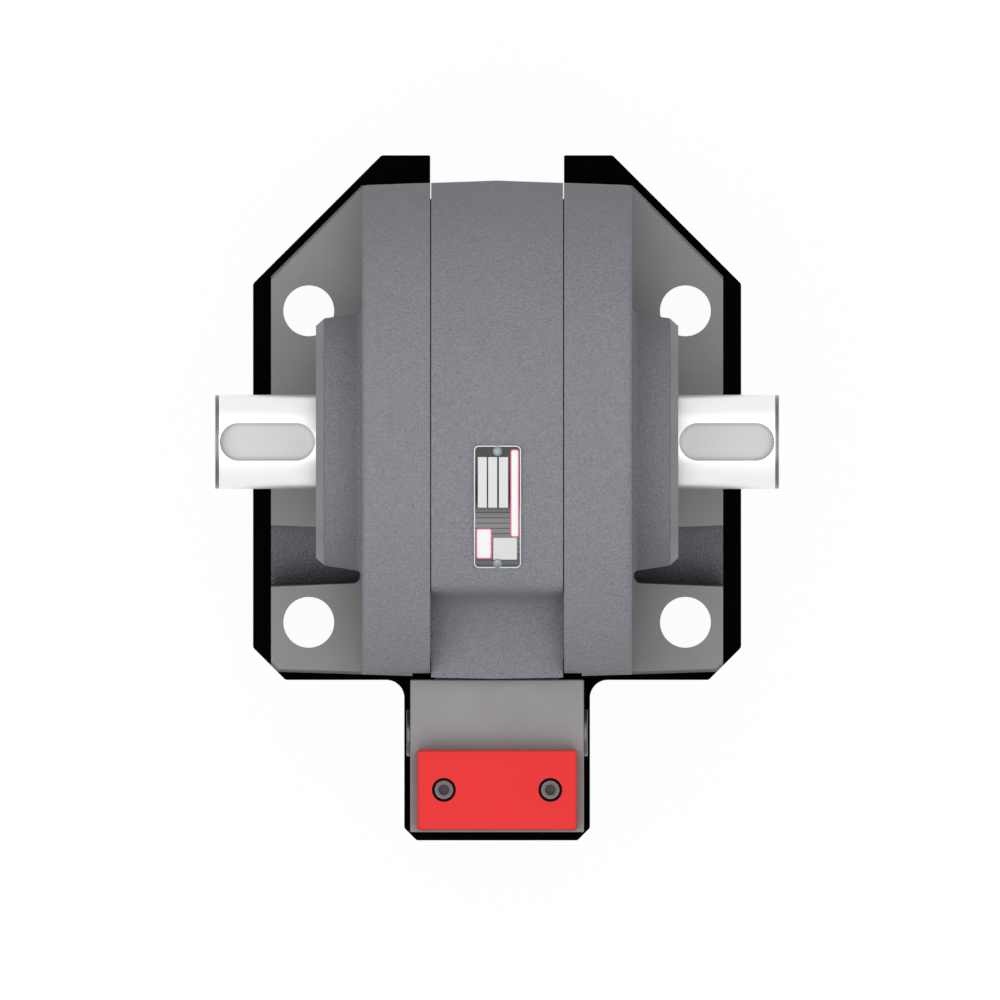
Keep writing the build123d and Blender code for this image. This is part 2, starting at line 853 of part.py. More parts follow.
def output_shaft():
    """Double-ended shaft with a hub that is slotted for the vane."""
    band = shaft_r - shaft_band_step
    band_start = shaft_end - shaft_band_width
    groove_r = shaft_r - relief_groove_depth
    groove_start_x = boss_end - relief_groove_width
    right = [
        (vane_half, hub_r),
        (vane_half, shaft_r),
        (groove_start_x, shaft_r),
        (groove_start_x, groove_r),
        (boss_end, groove_r),
        (boss_end, shaft_r),
        (band_start, shaft_r),
        (band_start, band),
        (shaft_end - shaft_edge_break, band),
        (shaft_end, band - shaft_edge_break),
        (shaft_end, 0),
    ]
    left = [(-x, r) for x, r in reversed(right)]
    shaft = turned(*left, *right)
    half_width = tongue_width / 2
    slot = block((-vane_half, vane_half), (slot_bottom_r, hub_r), (-half_width, half_width))
    shaft -= Pos(0, axis_y, axis_height) * slot
    for x in vane_screw_places:
        start = (x, axis_y + slot_bottom_r, axis_height)
        shaft -= bar(start, (0, -1, 0), vane_screw / 2 + thread_gap, vane_screw_bite + dowel_end_gap)
    for x in vane_dowel_places:
        start = (x, axis_y + slot_bottom_r, axis_height)
        depth = vane_dowel_length / 2 + dowel_end_gap
        shaft -= bar(start, (0, -1, 0), vane_dowel_d / 2 + dowel_gap, depth)
    key_x = shaft_end - keyway_from_end - keyway_length / 2
    floor = axis_height + shaft_r - keyway_depth
    for side in (-1, 1):
        keyway = Pos(side * key_x, axis_y, floor) * SlotOverall(keyway_length, keyway_width)
        shaft -= extrude(keyway, 2 * keyway_depth)
        end = (side * shaft_end, axis_y, axis_height)
        shaft -= bar(end, (-side, 0, 0), centre_drill_d / 2, centre_drill_depth)
        sink = Plane(origin=end, z_dir=(-side, 0, 0)) * Circle(centre_sink_d / 2)
        shaft -= extrude(sink, centre_sink_depth, taper=centre_sink_angle)
    return shaft


def sector(half_angle, direction, inner_r, outer_r, half_width):
    """A wedge of a ring, centred on +Y or -Y."""
    reach = 2 * outer_r
    side = reach * tan(radians(half_angle))
    wedge = polygon((0, 0), (direction * reach, -side), (direction * reach, side))
    wedge = Pos(0, axis_y, axis_height) * across(wedge, -half_width, half_width)
    return wedge & ring(outer_r, inner_r, -half_width, half_width)


def radial_box(direction, half_x, inner_r, outer_r, width):
    """A box with its long side along the radius, towards +Y or -Y."""
    reach = sorted((direction * inner_r, direction * outer_r))
    box = block((-half_x, half_x), reach, (-width / 2, width / 2))
    return Pos(0, axis_y, axis_height) * box


def vane():
    """Wedge-shaped vane with a tongue in the hub's slot."""
    outer_r = chamber_r - vane_gap
    body = sector(vane_half_angle, 1, hub_r + press_gap, outer_r, vane_half)
    tongue = tongue_width - 2 * tongue_gap
    body += radial_box(1, vane_half, slot_bottom_r + press_gap, hub_r + tongue_depth, tongue)
    groove = seal_strip_width + 2 * seal_fit
    floor_r = outer_r - seal_strip_depth
    cut = radial_box(1, ring_half, vane_seal_start, chamber_r, groove)
    cut -= radial_box(1, vane_half - seal_strip_depth, 0, floor_r, 2 * groove)
    body -= cut
    seat_r = floor_r - vane_screw
    for x in vane_screw_places:
        seat = (x, axis_y + seat_r, axis_height)
        body -= screw_way(vane_screw, seat_r - slot_bottom_r, seat, (0, -1, 0), vane_screw)
    for x in vane_dowel_places:
        start = (x, axis_y + slot_bottom_r, axis_height)
        depth = vane_dowel_length / 2 + dowel_end_gap
        body -= bar(start, (0, 1, 0), vane_dowel_d / 2 + dowel_gap, depth)
    return body


def vane_screws():
    """Screws that hold the vane down in the hub, under its seal."""
    seat_r = chamber_r - vane_gap - seal_strip_depth - vane_screw
    length = seat_r - slot_bottom_r + vane_screw_bite
    return [
        socket_screw(vane_screw, length, (x, axis_y + seat_r, axis_height), (0, -1, 0))
        for x in vane_screw_places
    ]


def vane_dowels():
    """Dowels that place the vane along the hub."""
    start_r = slot_bottom_r - vane_dowel_length / 2
    return [
        bar((x, axis_y + start_r, axis_height), (0, 1, 0), vane_dowel_d / 2, vane_dowel_length)
        for x in vane_dowel_places
    ]


def vane_seal():
    """Seal frame round three sides of the vane."""
    outer_r = chamber_r - seal_gap
    floor_r = chamber_r - vane_gap - seal_strip_depth + seal_fit
    inner_half = vane_half - seal_strip_depth + seal_fit
    frame = radial_box(1, ring_half - seal_gap, vane_seal_start + seal_fit, chamber_r, seal_strip_width)
    frame -= radial_box(1, inner_half, 0, floor_r, 2 * seal_strip_width)
    return frame & disc(outer_r, -ring_half, ring_half)


# Stator shoe, fixed to the ring on the port side


def stator_shoe():
    """Fixed wedge that closes the chamber between the two ports."""
    half_width = ring_half - shoe_side_gap
    inner_r = hub_r + vane_gap
    body = sector(shoe_half_angle, -1, inner_r, chamber_r - shoe_bore_gap, half_width)
    groove = seal_strip_width + 2 * seal_fit
    cut = radial_box(-1, ring_half, hub_r, shoe_seal_end, groove)
    cut -= radial_box(-1, half_width - seal_strip_depth, inner_r + seal_strip_depth, chamber_r, 2 * groove)
    body -= cut
    for x in shoe_screw_places:
        start = (x, axis_y - chamber_r, axis_height)
        depth = shoe_screw_bite + dowel_end_gap
        body -= bar(start, (0, 1, 0), shoe_screw / 2 + thread_gap, depth)
    return body


def stator_shoe_seal():
    """Seal frame between the shoe, the hub and the two heads."""
    half_width = ring_half - shoe_side_gap
    frame = radial_box(-1, half_width, hub_r, shoe_seal_end - seal_fit, seal_strip_width)
    floor_r = hub_r + vane_gap + seal_strip_depth - seal_fit
    inner_half = half_width - seal_strip_depth + seal_fit
    frame -= radial_box(-1, inner_half, floor_r, chamber_r, 2 * seal_strip_width)
    return frame - disc(hub_r + seal_gap, -ring_half, ring_half)


def stator_shoe_screws():
    """Screws through the ring into the shoe, under the port block."""
    wall = axis_y - chamber_r - port_face_y
    length = wall - shoe_screw + shoe_screw_bite
    return [
        socket_screw(shoe_screw, length, (x, port_face_y + shoe_screw, axis_height), (0, 1, 0))
        for x in shoe_screw_places
    ]


# Port block and what is fitted to it


def port_block():
    """Drilled steel block with two ports on top and a plugged port on each side."""
    body = block((-block_half, block_half), (block_end_y, port_face_y), (plate_thickness, block_top))
    body = chamfer(body.edges(), block_edge)
    end_y = block_end_y + block_screw
    for side in (-1, 1):
        height = gallery_height(side)
        start = (side * gallery_x, port_face_y, height)
        body -= bar(start, (0, -1, 0), gallery_d / 2, port_face_y - port_y + drill_overrun)
        body -= bar(start, (0, -1, 0), port_seal_d / 2, port_seal_depth)
        start = (side * port_x, port_y, block_top)
        body -= bar(start, (0, 0, -1), port_d / 2, block_top - height + drill_overrun)
        body -= bar(start, (0, 0, -1), port_seal_d / 2, port_seal_depth)
        start = (side * block_half, side_plug_y, height)
        thread_depth = side_plug_thread + side_plug_proud
        body -= bar(start, (-side, 0, 0), side_plug_thread_d / 2 + thread_gap, thread_depth)
        body -= bar(start, (-side, 0, 0), side_gallery_d / 2, block_half - gallery_x)
        body -= bar(start, (-side, 0, 0), side_plug_d / 2 - press_gap, side_seal_depth)
        for level in block_screw_heights:
            seat = (side * block_screw_x, end_y, level)
            body -= screw_way(block_screw, port_face_y - end_y, seat, (0, 1, 0), block_screw)
        start = (side * cover_screw_spacing / 2, port_y, block_top)
        body -= bar(start, (0, 0, -1), cover_screw / 2 + thread_gap, cover_screw_bite + dowel_end_gap)
    return body


def port_block_screws():
    """Long screws through the block into the ring."""
    seat_y = block_end_y + block_screw
    length = port_face_y - seat_y + block_screw_bite
    return [
        socket_screw(block_screw, length, (side * block_screw_x, seat_y, height), (0, 1, 0))
        for side in (-1, 1)
        for height in block_screw_heights
    ]


def port_seal(start, direction):
    """Seal ring in a counterbore round a port."""
    outer_r = port_seal_d / 2 - port_seal_squeeze
    depth = port_seal_depth - 2 * port_seal_squeeze
    start = moved_along(start, direction, port_seal_squeeze)
    seal = bar(start, direction, outer_r, depth)
    return seal - bar(start, direction, outer_r - port_seal_wall, depth)


def port_block_o_rings():
    """Seal rings between the block and the ring."""
    return [
        port_seal((side * gallery_x, port_face_y, gallery_height(side)), (0, -1, 0)) for side in (-1, 1)
    ]


def transit_cover_o_rings():
    """Seal rings between the block and the transit cover."""
    return [port_seal((side * port_x, port_y, block_top), (0, 0, -1)) for side in (-1, 1)]


def side_port_plugs():
    """Flanged plugs with a hexagon socket, in the block's two side ports."""
    plugs = []
    for side in (-1, 1):
        start = (side * (block_half + side_plug_proud), side_plug_y, gallery_height(side))
        inward = (-side, 0, 0)
        plug = bar(start, inward, side_plug_d / 2, side_plug_proud)
        plug += bar(start, inward, side_plug_thread_d / 2, side_plug_proud + side_plug_thread)
        face = Plane(origin=start, z_dir=inward)
        plug -= extrude(face * RegularPolygon(side_plug_hex / 2, 6, major_radius=False), side_plug_hex_depth)
        plugs.append(plug)
    return plugs


def side_plug_seals():
    """Seal rings under the flanges of the side plugs."""
    seals = []
    for side in (-1, 1):
        start = (side * (block_half - press_gap), side_plug_y, gallery_height(side))
        inward = (-side, 0, 0)
        depth = side_seal_depth - 2 * press_gap
        seal = bar(start, inward, side_plug_d / 2 - 2 * press_gap, depth)
        seals.append(seal - bar(start, inward, side_plug_thread_d / 2 + thread_gap, depth))
    return seals


def transit_cover():
    """Cover plate over the two ports, held by two screws."""
    top = block_top + cover_height
    cover = block(
        (-cover_width / 2, cover_width / 2),
        (port_y - cover_depth / 2, port_y + cover_depth / 2),
        (block_top, top),
    )
    cover = fillet(cover.edges().filter_by(Axis.Z), cover_corner_r)
    cover = chamfer(cover.edges().group_by(Axis.Z)[-1], cover_edge)
    for side in (-1, 1):
        seat = (side * cover_screw_spacing / 2, port_y, top - cover_screw_seat)
        depth = cover_height - cover_screw_seat
        cover -= bar(seat, (0, 0, -1), cover_screw / 2 + screw_clearance, depth)
        cover -= bar(seat, (0, 0, 1), cover_bore_d / 2, cover_screw_seat)
    return cover


def transit_cover_screws():
    """The two screws of the transit cover."""
    seat_height = block_top + cover_height - cover_screw_seat
    length = cover_height - cover_screw_seat + cover_screw_bite
    return [
        socket_screw(cover_screw, length, (side * cover_screw_spacing / 2, port_y, seat_height), (0, 0, -1))
        for side in (-1, 1)
    ]


# Nameplate


def rivet_places():
    """Where the rivets enter the ring, and the way they point."""
    places = []
    for side in (-1, 1):
        offset = nameplate_y + side * rivet_spacing / 2 - axis_y
        turn = degrees(asin(offset / (ring_d / 2)))
        point = on_circle(nameplate_x, ring_d, 90 - turn)
        outward = (0, sin(radians(turn)), cos(radians(turn)))
        places.append((point, outward))
    return places


def nameplate():
    """Thin plate bent round the ring, with a hole for each rivet."""
    inner_r = ring_d / 2 + press_gap
    sheet = ring(inner_r + nameplate_thickness, inner_r, -ring_half, ring_half)
    plan = RectangleRounded(nameplate_width, nameplate_length, nameplate_corner_r)
    sheet = sheet & upright(Pos(nameplate_x, nameplate_y) * plan, axis_height + chamber_r, tall)
    for point, outward in rivet_places():
        sheet -= bar(point, outward, rivet_shank_d / 2 + thread_gap, rivet_depth)
    return sheet


def nameplate_rivets():
    """Domed rivets that hold the nameplate."""
    rivets = []
    for point, outward in rivet_places():
        under = moved_along(point, outward, 2 * press_gap + nameplate_thickness)
        head = bar(under, outward, rivet_d / 2, rivet_height)
        rim = head.edges().filter_by(GeomType.CIRCLE).sort_by(Axis.Z)[-1]
        head = fillet(rim, rivet_round)
        start = moved_along(point, outward, 1 - rivet_depth)
        rivets.append(head + bar(start, outward, rivet_shank_d / 2, rivet_depth))
    return rivets


def main():
    """Write every sub-part."""
    os.makedirs("parts", exist_ok=True)
    write("base_plate", base_plate())
    write("base_plate_screws", *base_plate_screws())
    write("base_dowels", *base_dowels())
    write_pair("end_head", end_head())
    write_pair("head_screws", *head_screws())
    write_pair("head_o_ring", head_o_ring())
    write_pair("thrust_washer", thrust_washer())
    write_pair("pressure_seal", pressure_seal())
    write_pair("bearing_outer_ring", bearing_outer_ring())
    write_pair("bearing_inner_ring", bearing_inner_ring())
    write_pair("bearing_rollers", *bearing_rollers())
    write_pair("bearing_cage", bearing_cage())
    write_pair("bearing_spacer", bearing_spacer())
    write_pair("shaft_seal", shaft_seal())
    write_pair("retaining_ring", retaining_ring())
    write("head_dowels", *head_dowels())
    write("chamber_ring", chamber_ring())
    write("output_shaft", output_shaft())
    write("vane", vane())
    write("vane_screws", *vane_screws())
    write("vane_dowels", *vane_dowels())
    write("vane_seal", vane_seal())
    write("stator_shoe", stator_shoe())
    write("stator_shoe_seal", stator_shoe_seal())
    write("stator_shoe_screws", *stator_shoe_screws())
    write("port_block", port_block())
    write("port_block_screws", *port_block_screws())
    write("port_block_o_rings", *port_block_o_rings())
    write("side_port_plugs", *side_port_plugs())
    write("side_plug_seals", *side_plug_seals())
    write("transit_cover", transit_cover())
    write("transit_cover_screws", *transit_cover_screws())
    write("transit_cover_o_rings", *transit_cover_o_rings())
    write("nameplate", nameplate())
    write("nameplate_rivets", *nameplate_rivets())


main()
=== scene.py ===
from math import asin, cos, pi, radians, sin

import bmesh
import bpy
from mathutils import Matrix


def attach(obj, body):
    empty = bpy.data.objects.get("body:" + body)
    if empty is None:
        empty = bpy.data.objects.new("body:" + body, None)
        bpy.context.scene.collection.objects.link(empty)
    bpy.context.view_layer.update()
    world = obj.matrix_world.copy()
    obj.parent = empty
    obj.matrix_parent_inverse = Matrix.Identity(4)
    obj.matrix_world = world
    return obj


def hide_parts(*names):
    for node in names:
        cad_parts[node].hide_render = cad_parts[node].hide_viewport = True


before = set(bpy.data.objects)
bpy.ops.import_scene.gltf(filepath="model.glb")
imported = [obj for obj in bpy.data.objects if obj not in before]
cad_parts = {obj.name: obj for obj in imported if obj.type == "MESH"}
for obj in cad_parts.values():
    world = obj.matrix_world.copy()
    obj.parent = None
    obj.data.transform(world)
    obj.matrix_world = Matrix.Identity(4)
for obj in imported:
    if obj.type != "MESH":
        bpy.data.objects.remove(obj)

bl_info = {
    "name": "Hydraulic Rotary Actuator",
    "version": (1, 0, 0),
    "blender": (4, 5, 0),
    "location": "View3D > Sidebar > Actuator",
    "description": "Finishes the surfaces of the rotary actuator's parts and sets up its studio",
    "category": "Object",
}

# The frame is in metres and the sizes below are in millimetres, as on a drawing.
MM = 0.001

# The shaft's line, and the places on the pieces that the finishes follow
SHAFT_Y = 13.1
SHAFT_Z = 140.0
EAR_TOP = 60.0
BOSS_CHAMFER_START = 91.7
COVER_Y = -171.7
COVER_SCREW_X = 28.25
COVER_BORE_R = 6.25
KEYWAY_FLOOR = 17.5
KEYWAY_HALF = 10.0
SHAFT_BAND = (147.67, 149.62)
# Radii between which a cover screw goes from its socket, dark with painted shade, to its face,
# and from its face to its lighter rim
SOCKET_RIM_R = (2.5, 3.2)
LIGHT_RIM_R = (4.0, 4.7)
RING_D = 277.6
NAMEPLATE_THICKNESS = 0.8

# The sizes of a rivet, and of a socket screw or plug, in the order of the rows below them
HEAD_SIZES = ("Head diameter", "Head height")
SHANK_SIZES = ("Shank diameter", "Shank length")
RIVET_SIZES = (*HEAD_SIZES, *SHANK_SIZES)
SCREW_SIZES = (*HEAD_SIZES, "Socket width", "Socket depth", *SHANK_SIZES)
HEAD_SCREW = (18.0, 12.0, 10.0, 6.0, 12.0, 40.5)
PLATE_SCREW = (18.0, 12.0, 10.0, 6.0, 12.0, 28.5)
BLOCK_SCREW = (16.0, 10.0, 8.0, 5.0, 10.0, 91.0)
COVER_SCREW = (10.0, 6.0, 5.0, 3.0, 6.0, 19.0)
SIDE_PLUG = (24.8, 2.0, 10.0, 7.0, 21.0, 13.0)
RIVET = (5.3, 1.4, 3.0, 7.0)
HEXAGON_TURN = pi / 3
ROUND_SIDES = 48
# A screw's small chamfers as a share of its edge break, and the drilled end of its socket as
# shares of the socket's width and depth
SMALL_CHAMFER = 0.3
DRILL_RADIUS = 0.2
DRILL_DEPTH = 1.12
# A rivet's straight foot as a share of its head's height, and the rings of its dome
RIVET_FOOT = 0.15
RIVET_RINGS = 7

# Where the screws, plugs and rivets sit; pairs and rows are mirrored in X
PLATE_SCREW_PLACES = ((53.0, 118.0), (53.0, -92.0), (106.0, 8.0))
PLATE_SCREW_SEAT_Z = 13.5
HEAD_SCREW_ANGLES = (-30, 0, 30, 60, 90, 120, 156, 204)
HEAD_SCREW_CIRCLE_R = 110.0
HEAD_SCREW_SEAT_X = 58.0
BLOCK_SCREW_PLACES = ((25.0, -184.1, 60.0), (25.0, -184.1, 158.0))
SIDE_PLUG_PLACE = (46.1, -141.4, 38.0)
COVER_SCREW_SEAT_Z = 201.0
RIVETS_X = 0.2
RIVETS_Y = -21.4
RIVET_SPACING = 59.1
RIVET_LIFT = 0.04

# Angles in degrees: edges over them are sharp, sharp on a turned piece, and rounded, and faces
# that turn less than the last one are joined
SHARP_ANGLE = 32
TURNED_SHARP_ANGLE = 28
ROUNDED_ANGLE = 35
FLAT_ANGLE = 0.4

# The part of a noise's range that nearly all of it lies in
NOISE_SPAN = (0.3, 0.7)
# How far the shade of a corner reaches, in mm, and the least light left in it, with what a
# milled face keeps beyond that
HEAD_SHADE_REACH = 18.0
HEAD_SHADE_LEAST = 0.38
MILLED_SHADE_LIFT = 0.34
RING_SHADE = (9.0, 0.6)
SHAFT_SHADE = (2.5, 0.45)
BLOCK_SHADE = (40.0, 0.2)
# Width of the soft line where a milled face meets the rest
MILLED_LINE = 0.06
# Heights about the ear's top where its face is milled, and where the boss clears the ear
EAR_MILLED = (-2.5, 1.0)
EAR_CLEAR = (8.0, 9.0)
# Slopes between which a face starts to look up, and between which it is level
LOOKS_UP = (0.25, 0.35)
LEVEL = (0.95, 0.99)
# Heights over which the painted shade low on the castings fades, and the light left under it at
# the foot
LOW_SHADE_HEIGHTS = (60, 150)
LOW_SHADE_LIGHT = 0.65
CAST_SPECULAR = 0.22
# Colour of the painted shade inside the cover's screw bores
PAINTED_BORE_SHADE = (18 / 255) ** 2.2

# The studio, in metres: half the floor's width, its drop under the part, and the camera
FLOOR_REACH = 3.0
FLOOR_DROP = 0.0003
CAMERA_HEIGHT = 1.5
CAMERA_SIGHT = 20
# Each sun's name, share of the overhead light, width and turns about X and Y in degrees
SUNS = (("Overhead", 1.0, 70, (8, -6)), ("Side fill", 0.12, 40, (-50, 24)))


def srgb(red, green, blue):
    """A colour given as it looks on screen, from 0 to 255, for a colour property."""
    levels = []
    for level in (red, green, blue):
        part = level / 255
        levels.append(part / 12.92 if part <= 0.04045 else ((part + 0.055) / 1.055) ** 2.4)
    return tuple(levels)


def dimmed(tint, amount):
    """A colour made darker or lighter."""
    return tuple(amount * level for level in tint)


def colour(name, description, *levels):
    """A colour property with its default."""
    return bpy.props.FloatVectorProperty(
        name=name,
        description=description,
        default=srgb(*levels),
        subtype="COLOR",
        size=3,
        min=0,
        max=1,
    )


def length(name, description, millimetres):
    """A length property with its default."""
    return bpy.props.FloatProperty(
        name=name,
        description=description,
        default=millimetres * MM,
        min=0,
        subtype="DISTANCE",
        unit="LENGTH",
    )


def share(name, description, default):
    """A property between nothing and all."""
    return bpy.props.FloatProperty(
        name=name, description=description, default=default, min=0, max=1, subtype="FACTOR"
    )


class ActuatorSizes(bpy.types.PropertyGroup):
    """Sizes of the finish: edge rounds, grain and the view."""

    view_width: length("View width", "Width of the straight-down view", 531.0)
    view_x: length("View offset X", "Centre of the view, right of the mounting centre", 1.54)
    view_y: bpy.props.FloatProperty(
        name="View offset Y",
        description="Centre of the view behind the mounting centre",
        default=-17.76 * MM,
        subtype="DISTANCE",
        unit="LENGTH",
    )
    plate_edge: length("Plate edge", "Edge break of the base plate", 0.8)
    cover_edge: length("Cover edge", "Edge round of the transit cover", 0.3)
    sand_grain: length("Sand grain", "Size of the grain on cast surfaces", 0.9)
    sand_depth: length("Sand grain depth", "Height of the grain on cast surfaces", 1.3)
    screw_edge: length("Screw edge", "Edge break of the screw heads", 0.7)


class ActuatorColours(bpy.types.PropertyGroup):
    """Colours of the finishes."""

    casting: colour("Casting", "Primed cast iron of the heads and the ring", 149, 150, 156)
    casting_low: colour("Casting hollows", "Darker primer in the hollows", 133, 134, 140)
    machined: colour("Machined casting", "Bare faces of the castings", 142, 142, 142)
    plate: colour("Plate paint", "Paint of the base plate", 1, 1, 1)
    shaft: colour("Ground steel", "Ground surface of the output shaft", 254, 254, 254)
    shaft_band: colour("Shaft end band", "Dark band at each end of the shaft", 118, 118, 120)
    keyway: colour("Keyway floor", "Milled floor of the keyways", 215, 215, 215)
    block: colour("Port block steel", "Milled surface of the port block", 151, 149, 150)
    plug: colour("Plug steel", "Plated surface of the side plugs", 96, 96, 98)
    cover: colour("Transit cover", "Plastic of the transit cover", 234, 50, 50)
    screw: colour("Screw steel", "Blackened socket screws", 44, 43, 45)
    cover_screw: colour("Cover screw steel", "Worn screws of the cover", 142, 128, 130)
    plate_dark: colour("Nameplate dark", "Darkest part of the nameplate's field", 14, 14, 15)
    plate_pale: colour("Nameplate pale", "Palest part of the nameplate's field", 132, 132, 134)
    plate_metal: colour("Nameplate metal", "Bare metal of its rim and boxes", 226, 226, 227)
    plate_tint: colour("Nameplate tint", "Tinted frames of the nameplate", 240, 120, 150)
    rivet: colour("Rivet steel", "Plated rivets of the nameplate", 140, 150, 156)


class ActuatorFinish(bpy.types.PropertyGroup):
    """Strength of the light, and the white and the bounce of the floor."""

    surround: share("Surround light", "Strength of the even light from all round", 0.55)
    key: bpy.props.FloatProperty(
        name="Overhead light",
        description="Strength of the soft light from above",
        default=1.45,
        min=0,
        max=10,
    )
    floor_white: share("Floor white", "How far the floor's own white hides its shadow", 0.97)
    floor_bounce: share("Floor bounce", "How much light the floor throws back up", 0.35)


def sizes():
    """The finish sizes of the scene."""
    return bpy.context.scene.actuator_sizes


def colours():
    """The finish colours of the scene."""
    return bpy.context.scene.actuator_colours


class Wire:
    """What leaves a socket of a node tree. Sums and products on it add their Math nodes."""

    def __init__(self, tree, socket):
        self.tree = tree
        self.socket = socket

    def math(self, operation, *values):
        """The result of a Math node on the values."""
        return self.tree.node("ShaderNodeMath", {"operation": operation}, dict(enumerate(values)))

    def __add__(self, other):
        return self.math("ADD", self, other)

    __radd__ = __add__

    def __sub__(self, other):
        return self.math("SUBTRACT", self, other)

    def __rsub__(self, other):
        return self.math("SUBTRACT", other, self)

    def __mul__(self, other):
        return self.math("MULTIPLY", self, other)

    __rmul__ = __mul__

    def __truediv__(self, other):
        return self.math("DIVIDE", self, other)

    def __abs__(self):
        return self.math("ABSOLUTE", self)

    def __neg__(self):
        return self.math("MULTIPLY", self, -1)

    def at_least(self, other):
        """The larger of the two."""
        return self.math("MAXIMUM", self, other)

    def rises(self, start, end):
        """From 0 to 1 as this goes from start to end, without corners."""
        values = {"Value": self, 1: start, 2: end}
        return self.tree.node("ShaderNodeMapRange", {"interpolation_type": "SMOOTHSTEP"}, values)

    def part(self, name):
        """Another output of the same node."""
        return Wire(self.tree, self.socket.node.outputs[name])


class Tree:
    """A node tree that is built by one method."""

    def __init__(self, nodes):
        self.nodes = nodes.nodes
        self.links = nodes.links
        self.nodes.clear()

    def node(self, kind, settings=None, values=None, out=0):
        """Add a node, make its settings, feed its sockets, and give back an output."""
        made = self.nodes.new(kind)
        for name, setting in (settings or {}).items():
            setattr(made, name, setting)
        for place, value in (values or {}).items():
            socket = made.inputs[place]
            if isinstance(value, Wire):
                self.links.new(value.socket, socket)
            else:
                socket.default_value = value
        return Wire(self, made.outputs[out]) if len(made.outputs) else made

    def vectors(self, operation, values):
        """The result of a Vector Math node on the values."""
        return self.node("ShaderNodeVectorMath", {"operation": operation}, values)

    def light_path(self):
        """1 on the camera's own rays, and 1 on those, mirrored rays and rays through glass."""
        camera = self.node("ShaderNodeLightPath")
        mirrored, passed = camera.part("Is Glossy Ray"), camera.part("Is Transmission Ray")
        return camera, camera.at_least(mirrored).at_least(passed)


class Finish(Tree):
    """A material and the patterns it is made of."""

    def __init__(self, name):
        self.material = bpy.data.materials.new(name)
        self.material.use_nodes = True
        super().__init__(self.material.node_tree)
        self.place = self.node("ShaderNodeTexCoord", out="Object")
        self.facing = self.place.part("Normal")
        spot = self.node("ShaderNodeSeparateXYZ", values={0: self.place})
        self.x = spot / MM
        self.y = spot.part("Y") / MM
        self.z = spot.part("Z") / MM
        self.up = self.node("ShaderNodeSeparateXYZ", values={0: self.facing}, out="Z")

    def stretched(self, x, y, z):
        """The place on the piece, with each axis scaled."""
        return self.vectors("MULTIPLY", {0: self.place, 1: (x, y, z)})

    def noise(self, size, detail=3.0, place=None):
        """Cloudy variation about 0.5 whose lumps are about as large as size, in metres."""
        values = {"Vector": place or self.place, "Scale": 1 / size, "Detail": detail}
        return self.node("ShaderNodeTexNoise", {"normalize": True}, values)

    def mix(self, amount, first, second, blend="MIX"):
        """A colour between two others."""
        settings = {"data_type": "RGBA", "blend_type": blend}
        fill = [c if isinstance(c, Wire) else (*c[:3], 1.0) for c in (first, second)]
        return self.node("ShaderNodeMix", settings, {0: amount, 6: fill[0], 7: fill[1]}, out=2)

    def within(self, value, low, high, soft):
        """1 between two limits and 0 beyond them."""
        return value.rises(low - soft, low + soft) * (1 - value.rises(high - soft, high + soft))

    def panel(self, x_low, x_high, y_low, y_high, soft=0.1):
        """1 on a rectangle of the plan and 0 beyond it."""
        return self.within(self.x, x_low, x_high, soft) * self.within(self.y, y_low, y_high, soft)

    def corner_shade(self, reach, least):
        """Painted shade, 1 where a surface lies open and least in a corner; the reach is in mm."""
        values = {"Distance": reach * MM}
        free = self.node("ShaderNodeAmbientOcclusion", {"samples": 12}, values, out="AO")
        return least + free * (1 - least)

    def shaded(self, paint, amount):
        """A colour made darker by an amount of light between 0 and 1."""
        grey = self.node("ShaderNodeCombineColor", values={0: amount, 1: amount, 2: amount})
        return self.mix(1.0, paint, grey, "MULTIPLY")

    def from_axis(self, x, y):
        """Distance from an upright axis at x or -x, in mm."""
        out_x = abs(self.x) - x
        out_y = self.y - y
        return out_x.math("SQRT", out_x * out_x + out_y * out_y)

    def bump(self, height, depth):
        """A bumped normal, its depth in metres."""
        values = {"Height": height, "Distance": depth, "Strength": 1.0}
        return self.node("ShaderNodeBump", values=values)

    def surface(self, values):
        """Close the material with a Principled surface."""
        fill = {}
        for name, value in values.items():
            plain_colour = name == "Base Color" and not isinstance(value, Wire)
            fill[name] = (*value[:3], 1.0) if plain_colour else value
        shader = self.node("ShaderNodeBsdfPrincipled", values=fill)
        self.node("ShaderNodeOutputMaterial", values={0: shader})
        return self.material


def casting_parts(finish, cast=1.0):
    """Colour, roughness and normal of a sand-cast, primed surface, its grain only where cast."""
    size, tint = sizes(), colours()
    grain = finish.noise(size.sand_grain, detail=1.5)
    lump = finish.noise(size.sand_grain * 2.2, detail=2.0)
    cloud = finish.noise(45 * MM, detail=2.0)
    tone = (grain * 0.62 + lump * 0.28 + cloud * 0.1).rises(*NOISE_SPAN)
    paint = finish.mix(tone, tint.casting_low, tint.casting)
    rough = 0.6 + grain * 0.2
    height = (grain + lump * 0.7) * cast
    return paint, rough, finish.bump(height, size.sand_depth)


def machined_parts(finish):
    """Colour and roughness of a face milled on the casting."""
    tint = colours()
    swirl = finish.noise(0.5 * MM, detail=2.0, place=finish.stretched(0.1, 1.0, 1.0))
    cloud = finish.noise(30 * MM, detail=2.0)
    shine = (swirl * 0.4 + cloud * 0.6).rises(*NOISE_SPAN)
    darker = dimmed(tint.machined, 0.9)
    return finish.mix(shine, darker, tint.machined), 0.42 + swirl * 0.16


